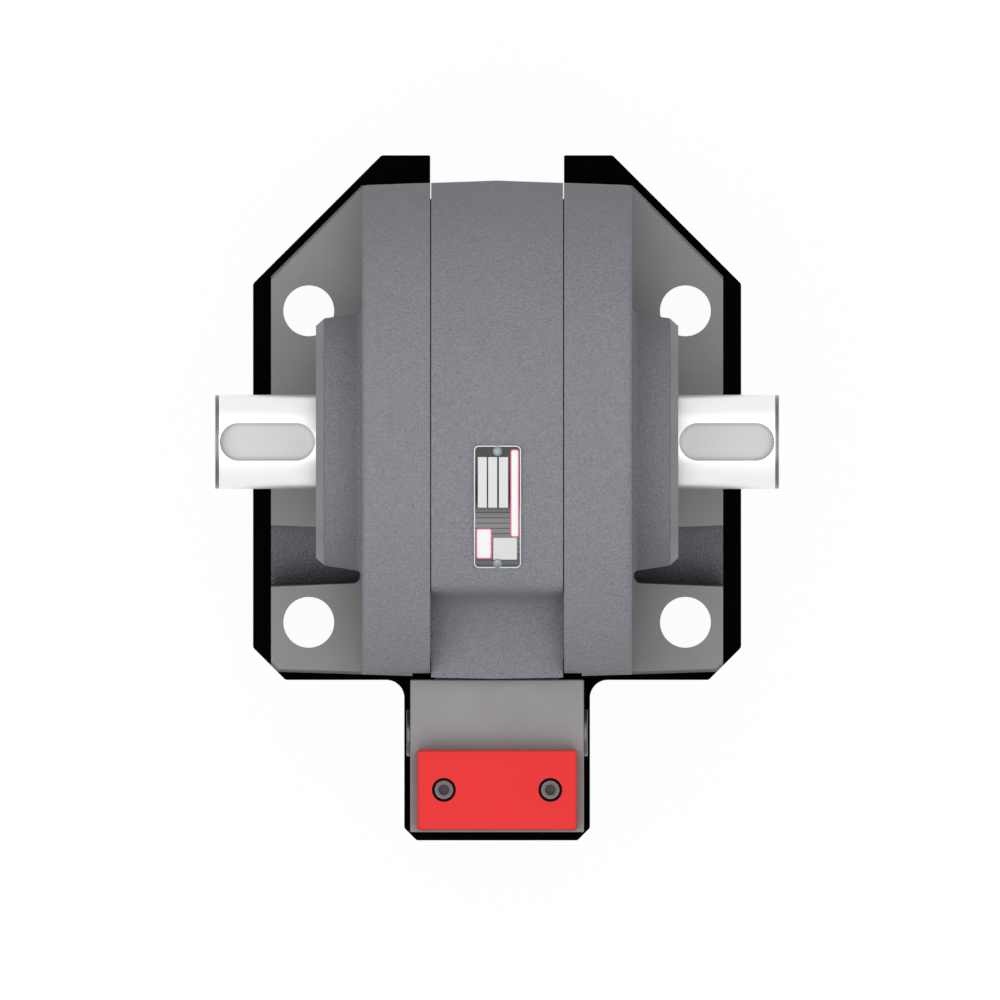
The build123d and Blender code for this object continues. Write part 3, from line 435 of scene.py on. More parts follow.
def head_casting():
    """Primed casting of the end heads, bare where their ears and boss ends are machined."""
    finish = Finish("End head casting")
    bare, bare_rough = machined_parts(finish)
    ragged = finish.noise(3 * MM) * 0.5
    over_ear = finish.z - EAR_TOP
    ear = finish.within(over_ear, *EAR_MILLED, MILLED_LINE) * finish.up.rises(*LOOKS_UP)
    past_cone = abs(finish.x) - BOSS_CHAMFER_START
    boss = past_cone.rises(ragged - 0.2, ragged + 0.1)
    beyond_ear = over_ear.rises(*EAR_CLEAR)
    machined = ear.at_least(boss * beyond_ear)
    paint, rough, normal = casting_parts(finish, 1 - machined)
    # Painted shade: the base colour darkens in corners, less on milled faces
    least = HEAD_SHADE_LEAST + MILLED_SHADE_LIFT * machined
    corner_shade = finish.corner_shade(HEAD_SHADE_REACH, least)
    # Painted shade low down: the castings grow darker towards their foot, but not on milled faces
    unshaded = machined.at_least(finish.z.rises(*LOW_SHADE_HEIGHTS))
    low_shade = LOW_SHADE_LIGHT + (1 - LOW_SHADE_LIGHT) * unshaded
    values = {
        "Base Color": finish.shaded(finish.mix(machined, paint, bare), corner_shade * low_shade),
        "Roughness": rough + (bare_rough - rough) * machined,
        "Metallic": machined * 0.12,
        "Specular IOR Level": CAST_SPECULAR,
        "Normal": normal,
    }
    return finish.surface(values)


def ring_casting():
    """Primed casting of the chamber ring."""
    finish = Finish("Chamber ring casting")
    paint, rough, normal = casting_parts(finish)
    values = {
        # Painted shade: the base colour darkens in corners
        "Base Color": finish.shaded(paint, finish.corner_shade(*RING_SHADE)),
        "Roughness": rough,
        "Specular IOR Level": CAST_SPECULAR,
        "Normal": normal,
    }
    return finish.surface(values)


def plate_paint():
    """Black paint of the base plate."""
    finish = Finish("Base plate paint")
    tint = colours().plate
    peel = finish.noise(1.6 * MM, detail=2.0)
    dust = finish.noise(26 * MM, detail=4.0).rises(0.52, 0.8)
    lighter = dimmed(tint, 1.9)
    values = {
        "Base Color": finish.mix(dust * 0.5, tint, lighter),
        "Roughness": 0.5 + dust * 0.18,
        "Specular IOR Level": 0.01,
        "Normal": finish.bump(peel, 0.05 * MM),
    }
    return finish.surface(values)


def ground_shaft():
    """Ground steel of the shaft, darker on the end bands and milled in the keyways."""
    finish = Finish("Ground shaft steel")
    tint = colours()
    lines = finish.noise(0.3 * MM, detail=2.0, place=finish.stretched(1.0, 0.03, 0.03))
    cloud = finish.noise(16 * MM, detail=2.0)
    out_y = finish.y - SHAFT_Y
    out_z = finish.z - SHAFT_Z
    at_floor = finish.within(out_z, KEYWAY_FLOOR - 0.3, KEYWAY_FLOOR + 0.3, MILLED_LINE)
    in_slot = finish.within(out_y, -KEYWAY_HALF, KEYWAY_HALF, 0.1)
    floor = at_floor * in_slot * finish.up.rises(*LEVEL)
    cutter = finish.noise(0.5 * MM, detail=2.0, place=finish.stretched(1.0, 0.15, 1.0))
    milled = finish.mix(cutter, dimmed(tint.keyway, 0.94), tint.keyway)
    ground = finish.mix(lines * 0.4 + cloud * 0.3, tint.shaft, dimmed(tint.shaft, 0.95))
    # A darker band at each end of the shaft
    band = finish.within(abs(finish.x), *SHAFT_BAND, MILLED_LINE)
    end_band_tone = finish.mix(cloud, dimmed(tint.shaft_band, 0.5), tint.shaft_band)
    banded = finish.mix(band, ground, end_band_tone)
    # Painted shade along the keyways' walls and in other corners
    slot_shade = finish.corner_shade(*SHAFT_SHADE)
    values = {
        "Base Color": finish.shaded(finish.mix(floor, banded, milled), slot_shade),
        "Roughness": 0.3 + lines * 0.1 + floor * 0.2,
        "Metallic": 0.85 - 0.8 * floor,
        "Coat Weight": 0.5 - 0.5 * floor,
        "Coat Roughness": 0.3,
        "Normal": finish.bump(lines, 0.004 * MM),
    }
    return finish.surface(values)


def milled_block():
    """Milled steel of the port block, with the cutter's rows on its top and faint stains."""
    finish = Finish("Port block steel")
    tint = colours().block
    rows = finish.noise(0.8 * MM, detail=3.0, place=finish.stretched(0.12, 1.0, 0.5))
    fine = finish.noise(0.3 * MM, detail=2.0, place=finish.stretched(1.0, 0.2, 0.2))
    stain = finish.noise(28 * MM, detail=2.0).rises(0.3, 0.75)
    tone = rows * 0.4 + fine * 0.3 + stain * 0.3
    milled = finish.mix(tone.rises(0.25, 0.7), dimmed(tint, 0.9), tint)
    values = {
        # Painted shadow of the cover and painted shade in corners darken the base colour
        "Base Color": finish.shaded(milled, finish.corner_shade(*BLOCK_SHADE)),
        "Roughness": 0.44 + rows * 0.14,
        "Metallic": 0.12,
        "Specular IOR Level": 0.3,
        "Normal": finish.bump(rows + fine * 0.4, 0.012 * MM),
    }
    return finish.surface(values)


def cover_plastic():
    """Moulded red plastic of the transit cover."""
    finish = Finish("Transit cover plastic")
    tint = colours().cover
    grain = finish.noise(0.7 * MM, detail=3.0)
    flow = finish.noise(24 * MM, detail=2.0, place=finish.stretched(0.4, 1.0, 1.0))
    plastic = finish.mix(flow, dimmed(tint, 0.94), tint)
    from_screw = finish.from_axis(COVER_SCREW_X, COVER_Y)
    # Painted shade: the cover is dark inside the bores round its screws
    bore = 1 - from_screw.rises(COVER_BORE_R + 0.02, COVER_BORE_R + 0.12)
    values = {
        "Base Color": finish.mix(bore, plastic, [PAINTED_BORE_SHADE] * 3),
        "Roughness": 0.5 + grain * 0.12,
        "Specular IOR Level": 0.18,
        "Normal": finish.bump(grain, 0.02 * MM),
    }
    return finish.surface(values)


def plain_metal(name, tint, rough, metallic=0.9, streak=(1.0, 1.0, 1.0), grain=0.5):
    """A turned, ground or cast metal with fine streaks along the given axes."""
    finish = Finish(name)
    lines = finish.noise(grain * MM, detail=3.0, place=finish.stretched(*streak))
    cloud = finish.noise(12 * MM, detail=3.0)
    tone = (lines * 0.6 + cloud * 0.4).rises(*NOISE_SPAN)
    values = {
        "Base Color": finish.mix(tone, dimmed(tint, 0.8), tint),
        "Roughness": rough + lines * 0.12,
        "Metallic": metallic,
        "Normal": finish.bump(lines, 0.01 * MM),
    }
    return finish.surface(values)


def seal_rubber():
    """Black seal rubber."""
    finish = Finish("Seal rubber")
    skin = finish.noise(0.6 * MM, detail=3.0)
    bloom = finish.noise(9 * MM, detail=3.0).rises(0.5, 0.8)
    values = {
        "Base Color": finish.mix(bloom * 0.4, srgb(28, 28, 30), srgb(52, 52, 55)),
        "Roughness": 0.55 + skin * 0.15,
        "Normal": finish.bump(skin, 0.02 * MM),
    }
    return finish.surface(values)


def screw_black():
    """Blackened screws, lighter in oily patches."""
    finish = Finish("Blackened screws")
    tint = colours().screw
    oil = finish.noise(1.2 * MM, detail=3.0)
    values = {
        "Base Color": finish.mix(oil, tint, dimmed(tint, 2.0)),
        "Roughness": 0.3 + oil * 0.12,
        "Metallic": 0.6,
        "Normal": finish.bump(oil, 0.01 * MM),
    }
    return finish.surface(values)


def rimmed_cover_screw():
    """Screws of the transit cover, lighter towards their rims and dark in their sockets with
    painted shade.
    """
    finish = Finish("Rimmed cover screw steel")
    tint = colours()
    oil = finish.noise(0.9 * MM, detail=3.0)
    axis = finish.from_axis(COVER_SCREW_X, COVER_Y)
    # Painted shade: dark in the socket, growing lighter towards the rim
    inner = finish.mix(axis.rises(*SOCKET_RIM_R), tint.screw, dimmed(tint.cover_screw, 0.5))
    rim = finish.mix(axis.rises(*LIGHT_RIM_R), inner, tint.cover_screw)
    values = {
        "Base Color": finish.mix(oil * 0.5, rim, dimmed(tint.cover_screw, 0.5)),
        "Roughness": 0.36 + oil * 0.12,
        "Metallic": 0.3,
        "Specular IOR Level": 0.2,
        "Normal": finish.bump(oil, 0.02 * MM),
    }
    return finish.surface(values)


# Plan of the nameplate, in mm from the mounting centre: a rim round a dark field that holds
# three boxes, a tall framed strip, a framed box and a plain square
PLATE_OUTLINE = (-12.3, 12.7, -53.9, 11.1)
PLATE_CORNER = 2.7
PLATE_RIM = 0.55
PLATE_BOXES = ((-10.2, -5.5, -21.8, 5.0), (-4.7, 0.0, -21.8, 5.0), (1.0, 5.8, -21.8, 5.0))
PLATE_STRIP = (7.1, 11.6, -37.5, 9.1)
PLATE_BARE = (-11.1, -2.9, -49.0, -32.9)
PLATE_SQUARE = (-2.0, 10.5, -49.4, -37.9)
# The corner and the frame of its two framed boxes, and the step between its printed lines
PLATE_BOX_CORNER = 1.4
PLATE_BOX_FRAME = 0.6
PLATE_LINE_STEP = 2.8
PLATE_LINE_START = (-15.5, -17.0)
# Its field is darkest at one place, grows pale below it, fades again, and pales a little above,
# a painted sheen across it
PLATE_DARKEST = -16.0
PLATE_PALE = (PLATE_DARKEST, -30.0)
PLATE_FADE = (-30.0, -52.0)
PLATE_ABOVE = (-12.0, 6.0)
# Added to a place to keep it above 0
PLATE_SHIFT = 100.0


def framed(finish, box, corner, frame_width, soft=0.12):
    """Masks of a box with round corners: all of it, and what lies inside its frame."""
    x_low, x_high, y_low, y_high = box
    over_x = (abs(finish.x - (x_low + x_high) / 2) - ((x_high - x_low) / 2 - corner)).at_least(0)
    over_y = (abs(finish.y - (y_low + y_high) / 2) - ((y_high - y_low) / 2 - corner)).at_least(0)
    outside = over_x.math("SQRT", over_x * over_x + over_y * over_y) - corner
    return 1 - outside.rises(-soft, soft), 1 - (outside + frame_width).rises(-soft, soft)


def nameplate_print():
    """Printed aluminium of the nameplate, with blank fields in place of its words."""
    finish = Finish("Nameplate print")
    tint = colours()
    brushed = finish.noise(0.25 * MM, detail=2.0, place=finish.stretched(1.0, 0.06, 1.0))
    metal = finish.mix(brushed, dimmed(tint.plate_metal, 0.9), tint.plate_metal)
    # Painted sheen: the dark field pales and fades across the plate
    below = finish.y.rises(*PLATE_PALE) * (1 - finish.y.rises(*PLATE_FADE) * 0.45)
    above = finish.y.rises(*PLATE_ABOVE) * 0.2
    sheen = below.at_least(above)
    ink_and_sheen = finish.mix(sheen, tint.plate_dark, tint.plate_pale)
    step = finish.y.math("PINGPONG", finish.y + PLATE_SHIFT, PLATE_LINE_STEP / 2)
    line = (1 - step.rises(0.08, 0.4)) * finish.y.rises(*PLATE_LINE_START)
    ink_and_sheen = finish.mix(line * 0.7, ink_and_sheen, tint.plate_dark)
    _, field = framed(finish, PLATE_OUTLINE, PLATE_CORNER, PLATE_RIM)
    light = finish.panel(*PLATE_SQUARE)
    for box in PLATE_BOXES:
        light = light.at_least(finish.panel(*box))
    print_ = finish.mix(light, finish.mix(field, metal, ink_and_sheen), metal)
    tinted, paper = field * 0, field * 0
    for box in (PLATE_STRIP, PLATE_BARE):
        whole, inside = framed(finish, box, PLATE_BOX_CORNER, PLATE_BOX_FRAME)
        tinted = tinted.at_least(whole)
        paper = paper.at_least(inside)
    print_ = finish.mix(tinted, print_, tint.plate_tint)
    print_ = finish.mix(paper, print_, dimmed(tint.plate_metal, 1.2))
    values = {
        "Base Color": print_,
        "Roughness": 0.4 + brushed * 0.12,
        "Metallic": 0.15 * (1 - field),
        "Specular IOR Level": 0.25,
        "Normal": finish.bump(brushed * 0.3 - field, 0.02 * MM),
    }
    return finish.surface(values)


def merged_copy(node):
    """A new, smooth piece with a CAD node's shape, its loose triangles joined into faces."""
    form = bmesh.new()
    form.from_mesh(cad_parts[node].data)
    bmesh.ops.remove_doubles(form, verts=form.verts, dist=0.002 * MM)
    flat = radians(FLAT_ANGLE)
    bmesh.ops.dissolve_limit(form, angle_limit=flat, verts=form.verts, edges=form.edges)
    form.verts.index_update()
    points = [tuple(v.co) for v in form.verts]
    faces = [[v.index for v in face.verts] for face in form.faces]
    form.free()
    name = "finished_" + node
    mesh = bpy.data.meshes.new(name)
    mesh.from_pydata(points, [], faces)
    mesh.validate()
    piece = bpy.data.objects.new(name, mesh)
    bpy.context.scene.collection.objects.link(piece)
    return smoothed(piece, SHARP_ANGLE)


def smoothed(piece, angle):
    """Smooth a piece's curves and keep its edges sharp."""
    piece.data.shade_smooth()
    piece.data.set_sharp_from_angle(angle=radians(angle))
    return piece


def rounded(piece, width):
    """Round a piece's edges with a Bevel."""
    bevel = piece.modifiers.new("Edge rounds", "BEVEL")
    bevel.width = width
    bevel.segments = 2
    bevel.limit_method = "ANGLE"
    bevel.angle_limit = radians(ROUNDED_ANGLE)
    bevel.use_clamp_overlap = False
    bevel.harden_normals = True


def placed(piece, body, material, slot, *nodes):
    """Give a piece its finish, set it on its body and let it stand for its nodes."""
    piece.data.materials.clear()
    piece.data.materials.append(material)
    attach(piece, body)
    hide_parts(*nodes)


def dressed(material, *nodes):
    """Give CAD nodes a better material."""
    for node in nodes:
        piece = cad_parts[node]
        if not piece.material_slots:
            piece.data.materials.append(material)
        for slot in piece.material_slots:
            slot.material = material


def points_with_direction(name, places):
    """Loose points, each with the way its piece looks."""
    mesh = bpy.data.meshes.new(name)
    mesh.from_pydata([[MM * value for value in place] for place, _ in places], [], [])
    outward = mesh.attributes.new("outward", "FLOAT_VECTOR", "POINT")
    for item, (_, direction) in zip(outward.data, places):
        item.vector = direction
    piece = bpy.data.objects.new(name, mesh)
    bpy.context.scene.collection.objects.link(piece)
    return piece


class Shape(Tree):
    """A Geometry Nodes tree with named inputs."""

    def __init__(self, name, inputs):
        self.group = bpy.data.node_groups.new(name, "GeometryNodeTree")
        super().__init__(self.group)
        panel = self.group.interface
        panel.new_socket("Geometry", in_out="INPUT", socket_type="NodeSocketGeometry")
        for socket, (kind, default) in inputs.items():
            made = panel.new_socket(socket, in_out="INPUT", socket_type=kind)
            if default is not None:
                made.default_value = default
        panel.new_socket("Geometry", in_out="OUTPUT", socket_type="NodeSocketGeometry")
        self.entry = self.node("NodeGroupInput")

    def given(self, name):
        """A named input of the tree."""
        return self.entry.part(name)

    def ring_at(self, mesh, chosen, radius, height):
        """Move the chosen ring of points to a radius and a height."""
        position = self.node("GeometryNodeInputPosition")
        flat = self.vectors("MULTIPLY", {0: position, 1: (1, 1, 0)})
        unit = self.vectors("NORMALIZE", {0: flat})
        spread = self.vectors("SCALE", {0: unit, "Scale": radius})
        lift = self.node("ShaderNodeCombineXYZ", values={2: height})
        place = self.vectors("ADD", {0: spread, 1: lift})
        values = {"Geometry": mesh, "Position": place}
        if chosen:
            values["Selection"] = chosen
        return self.node("GeometryNodeSetPosition", values=values)

    def turned(self, rings, sides=ROUND_SIDES):
        """A closed turned shape, from the radius and height of each of its rings."""
        start = self.node(
            "GeometryNodeMeshCircle", {"fill_type": "NGON"}, {"Vertices": sides, "Radius": 1.0}
        )
        start = self.ring_at(start, None, *rings[0])
        foot = self.node("GeometryNodeFlipFaces", values={"Mesh": start})
        mesh, chosen = start, None
        for radius, height in rings[1:]:
            values = {"Mesh": mesh, "Offset Scale": 0.0, "Individual": False}
            if chosen:
                values["Selection"] = chosen
            grown = self.node("GeometryNodeExtrudeMesh", {"mode": "FACES"}, values)
            chosen = grown.part("Top")
            mesh = self.ring_at(grown, chosen, radius, height)
        joined = self.node("GeometryNodeJoinGeometry")
        for part in (foot, mesh):
            self.links.new(part.socket, joined.socket.node.inputs[0])
        values = {"Geometry": joined, "Distance": 0.001 * MM}
        return self.node("GeometryNodeMergeByDistance", values=values)

    def hexagon_radius(self, width):
        """Radius of a hexagon of a given width at the point's own angle."""
        position = self.node("GeometryNodeInputPosition")
        x = self.node("ShaderNodeSeparateXYZ", values={0: position})
        angle = x.math("ARCTAN2", x.part("Y"), x) + 2 * pi
        sixth = x.math("MODULO", angle, pi / 3) - pi / 6
        return width / 2 / x.math("COSINE", sixth)

    def spread(self, template, material):
        """Set a template on every point, looking outward, and end the tree."""
        kind = {"data_type": "FLOAT_VECTOR"}
        outward = self.node("GeometryNodeInputNamedAttribute", kind, {0: "outward"})
        turn = self.node("FunctionNodeAlignRotationToVector", {"axis": "Z"}, {"Vector": outward})
        spin = self.node(
            "FunctionNodeRandomValue",
            {"data_type": "FLOAT"},
            {"Min": 0.0, "Max": self.given("Spin"), "Seed": self.given("Seed")},
            out=1,
        )
        values = {"Axis": (0, 0, 1), "Angle": spin}
        spin = self.node("FunctionNodeAxisAngleToRotation", values=values)
        values = {"Rotation": turn, "Rotate By": spin}
        turn = self.node("FunctionNodeRotateRotation", {"rotation_space": "LOCAL"}, values)
        values = {"Points": self.given("Geometry"), "Instance": template, "Rotation": turn}
        placed_ = self.node("GeometryNodeInstanceOnPoints", values=values)
        real = self.node("GeometryNodeRealizeInstances", values={0: placed_})
        values = {"Geometry": real, "Material": self.given(material)}
        done = self.node("GeometryNodeSetMaterial", values=values)
        self.node("NodeGroupOutput", values={0: done})
        return self.group


NUMBER = "NodeSocketFloat"
WHOLE = "NodeSocketInt"
MATERIAL = "NodeSocketMaterial"


def screw_shape():
    """The tree for socket head screws and plugs; the seat is at height 0."""
    group = bpy.data.node_groups.get("Socket screws")
    if group:
        return group
    inputs = {size: (NUMBER, value * MM) for size, value in zip(SCREW_SIZES, HEAD_SCREW)}
    inputs["Edge"] = (NUMBER, sizes().screw_edge)
    inputs["Spin"] = (NUMBER, HEXAGON_TURN)
    inputs["Seed"] = (WHOLE, 4)
    inputs["Finish"] = (MATERIAL, None)
    shape = Shape("Socket screws", inputs)
    head = shape.given("Head diameter") / 2
    top = shape.given("Head height")
    shank = shape.given("Shank diameter") / 2
    foot = -shape.given("Shank length")
    edge = shape.given("Edge")
    width, depth = shape.given("Socket width"), shape.given("Socket depth")
    hexagon = shape.hexagon_radius(width)
    small = edge * SMALL_CHAMFER
    rings = [
        (shank - edge, foot),
        (shank, foot + edge),
        (shank, 0.0),
        (head - small, 0.0),
        (head, small),
        (head, top - edge),
        (head - small, top - small),
        (head - edge, top),
        (hexagon + small, top),
        (hexagon, top - small),
        (hexagon, top - depth),
        (width * DRILL_RADIUS, top - depth * DRILL_DEPTH),
    ]
    return shape.spread(shape.turned(rings), "Finish")


def rivet_shape():
    """The tree for domed rivets; the plate's surface is at height 0."""
    inputs = {size: (NUMBER, value * MM) for size, value in zip(RIVET_SIZES, RIVET)}
    inputs["Spin"] = (NUMBER, 0.0)
    inputs["Seed"] = (WHOLE, 1)
    inputs["Finish"] = (MATERIAL, None)
    shape = Shape("Domed rivets", inputs)
    head = shape.given("Head diameter") / 2
    top = shape.given("Head height")
    shank = shape.given("Shank diameter") / 2
    foot = -shape.given("Shank length")
    rings = [(shank, foot), (shank, 0.0), (head, 0.0), (head, top * RIVET_FOOT)]
    for step in range(1, RIVET_RINGS):
        angle = pi / 2 * step / RIVET_RINGS
        rise = RIVET_FOOT + (1 - RIVET_FOOT) * sin(angle)
        rings.append((head * cos(angle), top * rise))
    rings.append((head * 0.04, top))
    return shape.spread(shape.turned(rings), "Finish")


def grown(name, group, places, values):
    """The plain mesh that a tree makes on its points, with its inputs set by their sockets."""
    seeds = points_with_direction(name, places)
    modifier = seeds.modifiers.new(name, "NODES")
    modifier.node_group = group
    for socket in group.interface.items_tree:
        if socket.item_type == "SOCKET" and socket.in_out == "INPUT" and socket.name in values:
            modifier[socket.identifier] = values[socket.name]
    bpy.context.view_layer.update()
    graph = bpy.context.evaluated_depsgraph_get()
    mesh = bpy.data.meshes.new_from_object(seeds.evaluated_get(graph), depsgraph=graph)
    seeds.modifiers.clear()
    old = seeds.data
    seeds.data = mesh
    bpy.data.meshes.remove(old)
    mesh.name = name
    return smoothed(seeds, TURNED_SHARP_ANGLE)


def socket_screws(name, kind, places, material, slot):
    """Socket screws of one kind, standing for the node of the same name."""
    values = {size: value * MM for size, value in zip(SCREW_SIZES, kind)}
    values["Edge"] = min(sizes().screw_edge, values["Head height"] / 3)
    values["Spin"] = HEXAGON_TURN
    values["Finish"] = material
    piece = grown("finished_" + name, screw_shape(), places, values)
    placed(piece, "housing", material, slot, name)


def black_screws():
    """The shared finish of the blackened screws, made the first time that it is asked for."""
    return bpy.data.materials.get("Blackened screws") or screw_black()


class ACTUATOR_OT_stage(bpy.types.Operator):
    """Build the white floor, the soft studio light and the straight-down camera"""

    bl_idname = "actuator.stage"
    bl_label = "Studio"

    def execute(self, context):
        scene = context.scene
        look = scene.actuator_finish
        scene.view_settings.view_transform = "Standard"
        self.floor(scene, look)
        self.world(scene, look)
        self.lights(scene, look)
        self.camera(scene)
        return {"FINISHED"}

    def floor(self, scene, look):
        """A pale floor that is white to the camera and keeps a soft shadow."""
        form = bmesh.new()
        bmesh.ops.create_grid(form, x_segments=8, y_segments=8, size=FLOOR_REACH)
        mesh = bpy.data.meshes.new("Floor")
        form.to_mesh(mesh)
        form.free()
        floor = bpy.data.objects.new("Floor", mesh)
        scene.collection.objects.link(floor)
        floor.location.z = -FLOOR_DROP
        finish = Finish("White floor")
        sweep = finish.noise(0.4, detail=2.0)
        camera, seen = finish.light_path()
        paper = finish.mix(sweep, srgb(250, 250, 250), srgb(254, 254, 254))
        bounce = finish.mix(camera, [look.floor_bounce] * 3, paper)
        lit = finish.node("ShaderNodeBsdfDiffuse", values={"Color": bounce})
        white = finish.node("ShaderNodeEmission", values={"Strength": 1.0})
        values = {0: seen * look.floor_white, 1: lit, 2: white}
        shader = finish.node("ShaderNodeMixShader", values=values)
        finish.node("ShaderNodeOutputMaterial", values={0: shader})
        mesh.materials.append(finish.material)

    def world(self, scene, look):
        """Even light from all round, white where it is seen or reflected."""
        world = bpy.data.worlds.new("Studio")
        world.use_nodes = True
        scene.world = world
        tree = Tree(world.node_tree)
        _, seen = tree.light_path()
        level = look.surround + seen * (1 - look.surround)
        values = {"Color": (1, 1, 1, 1), "Strength": level}
        light = tree.node("ShaderNodeBackground", values=values)
        tree.node("ShaderNodeOutputWorld", values={0: light})

    def lights(self, scene, look):
        """A wide soft sun nearly overhead, and a weak one from the side."""
        for name, strength, spread, turn in SUNS:
            lamp = bpy.data.lights.new(name, "SUN")
            lamp.energy = look.key * strength
            lamp.angle = radians(spread)
            light = bpy.data.objects.new(name, lamp)
            light.rotation_euler = (radians(turn[0]), radians(turn[1]), 0)
            light.location = (0, 0, 2)
            scene.collection.objects.link(light)

    def camera(self, scene):
        """The photograph's straight-down view."""
        view = bpy.data.cameras.new("Plan view")
        view.type = "ORTHO"
        view.ortho_scale = sizes().view_width
        view.clip_end = CAMERA_SIGHT
        camera = bpy.data.objects.new("Plan view", view)
        camera.location = (sizes().view_x, sizes().view_y, CAMERA_HEIGHT)
        scene.collection.objects.link(camera)
        scene.camera = camera


class ACTUATOR_OT_base_plate(bpy.types.Operator):
    """Finish the black base plate"""

    bl_idname = "actuator.base_plate"
    bl_label = "Base plate"

    def execute(self, context):
        plate = merged_copy("base_plate")
        rounded(plate, sizes().plate_edge)
        placed(plate, "housing", plate_paint(), "black_paint", "base_plate")
        return {"FINISHED"}


class ACTUATOR_OT_plate_screws(bpy.types.Operator):
    """Make the six screws under the base plate"""

    bl_idname = "actuator.plate_screws"
    bl_label = "Base plate screws"

    def execute(self, context):
        places = [
            ((side * x, y, PLATE_SCREW_SEAT_Z), (0, 0, -1))
            for x, y in PLATE_SCREW_PLACES
            for side in (-1, 1)
        ]
        socket_screws("base_plate_screws", PLATE_SCREW, places, black_screws(), "black_screw")
        return {"FINISHED"}


class ACTUATOR_OT_end_heads(bpy.types.Operator):
    """Finish the two drafted end heads"""

    bl_idname = "actuator.end_heads"
    bl_label = "End heads"

    def execute(self, context):
        finish = head_casting()
        for side in ("left", "right"):
            node = side + "_end_head"
            placed(merged_copy(node), "housing", finish, "cast_iron", node)
        return {"FINISHED"}


class ACTUATOR_OT_head_screws(bpy.types.Operator):
    """Make the sixteen screws that pull the heads against the ring"""

    bl_idname = "actuator.head_screws"
    bl_label = "End head screws"

    def execute(self, context):
        for side, name in ((-1, "left_head_screws"), (1, "right_head_screws")):
            places = []
            for angle in HEAD_SCREW_ANGLES:
                y = SHAFT_Y + HEAD_SCREW_CIRCLE_R * cos(radians(angle))
                z = SHAFT_Z + HEAD_SCREW_CIRCLE_R * sin(radians(angle))
                places.append(((side * HEAD_SCREW_SEAT_X, y, z), (side, 0, 0)))
            socket_screws(name, HEAD_SCREW, places, black_screws(), "black_screw")
        return {"FINISHED"}


class ACTUATOR_OT_chamber_ring(bpy.types.Operator):
    """Finish the cast chamber ring"""

    bl_idname = "actuator.chamber_ring"
    bl_label = "Chamber ring"

    def execute(self, context):
        placed(merged_copy("chamber_ring"), "housing", ring_casting(), "cast_iron", "chamber_ring")
        return {"FINISHED"}


class ACTUATOR_OT_output_shaft(bpy.types.Operator):
    """Finish the keyed output shaft"""

    bl_idname = "actuator.output_shaft"
    bl_label = "Output shaft"

    def execute(self, context):
        finish = ground_shaft()
        placed(merged_copy("output_shaft"), "rotor", finish, "ground_steel", "output_shaft")
        return {"FINISHED"}


class ACTUATOR_OT_port_block(bpy.types.Operator):
    """Finish the milled port block"""

    bl_idname = "actuator.port_block"
    bl_label = "Port block"

    def execute(self, context):
        placed(merged_copy("port_block"), "housing", milled_block(), "port_steel", "port_block")
        return {"FINISHED"}


class ACTUATOR_OT_port_block_screws(bpy.types.Operator):
    """Make the four long screws of the port block"""

    bl_idname = "actuator.port_block_screws"
    bl_label = "Port block screws"

    def execute(self, context):
        places = [
            ((side * x, y, z), (0, -1, 0)) for side in (-1, 1) for x, y, z in BLOCK_SCREW_PLACES
        ]
        socket_screws("port_block_screws", BLOCK_SCREW, places, black_screws(), "black_screw")
        return {"FINISHED"}


class ACTUATOR_OT_side_plugs(bpy.types.Operator):
    """Make the two flanged plugs in the port block's sides"""

    bl_idname = "actuator.side_plugs"
    bl_label = "Side plugs"

    def execute(self, context):
        tint = colours().plug
        finish = plain_metal("Plated plug steel", tint, rough=0.28, metallic=0.85, grain=0.4)
        x, y, rise = SIDE_PLUG_PLACE
        places = [((side * x, y, SHAFT_Z + side * rise), (side, 0, 0)) for side in (-1, 1)]
        socket_screws("side_port_plugs", SIDE_PLUG, places, finish, "plug_steel")
        return {"FINISHED"}


class ACTUATOR_OT_transit_cover(bpy.types.Operator):
    """Finish the red transit cover"""

    bl_idname = "actuator.transit_cover"
    bl_label = "Transit cover"

    def execute(self, context):
        cover = merged_copy("transit_cover")
        rounded(cover, sizes().cover_edge)
        placed(cover, "housing", cover_plastic(), "red_plastic", "transit_cover")
        return {"FINISHED"}


class ACTUATOR_OT_cover_screws(bpy.types.Operator):
    """Make the two screws of the transit cover"""

    bl_idname = "actuator.cover_screws"
    bl_label = "Transit cover screws"

    def execute(self, context):
        x, y, z = COVER_SCREW_X, COVER_Y, COVER_SCREW_SEAT_Z
        places = [((side * x, y, z), (0, 0, 1)) for side in (-1, 1)]
        socket_screws("transit_cover_screws", COVER_SCREW, places, rimmed_cover_screw(), "black_screw")
        return {"FINISHED"}


class ACTUATOR_OT_nameplate(bpy.types.Operator):
    """Finish the blank nameplate"""

    bl_idname = "actuator.nameplate"
    bl_label = "Nameplate"

    def execute(self, context):
        finish = nameplate_print()
        placed(merged_copy("nameplate"), "housing", finish, "nameplate_aluminium", "nameplate")
        return {"FINISHED"}


class ACTUATOR_OT_rivets(bpy.types.Operator):
    """Make the nameplate's two domed rivets"""

    bl_idname = "actuator.rivets"
    bl_label = "Nameplate rivets"

    def execute(self, context):
        places = []
        for side in (-1, 1):
            offset = RIVETS_Y + side * RIVET_SPACING / 2 - SHAFT_Y
            turn = asin(offset / (RING_D / 2))
            radius = RING_D / 2 + NAMEPLATE_THICKNESS + RIVET_LIFT
            place = (RIVETS_X, SHAFT_Y + radius * sin(turn), SHAFT_Z + radius * cos(turn))
            places.append((place, (0, sin(turn), cos(turn))))
        finish = plain_metal("Rivet steel", colours().rivet, rough=0.3, metallic=0.5, grain=0.8)
        values = {size: value * MM for size, value in zip(RIVET_SIZES, RIVET)}
        values["Finish"] = finish
        rivets = grown("finished_nameplate_rivets", rivet_shape(), places, values)
        placed(rivets, "housing", finish, "plain_steel", "nameplate_rivets")
        return {"FINISHED"}


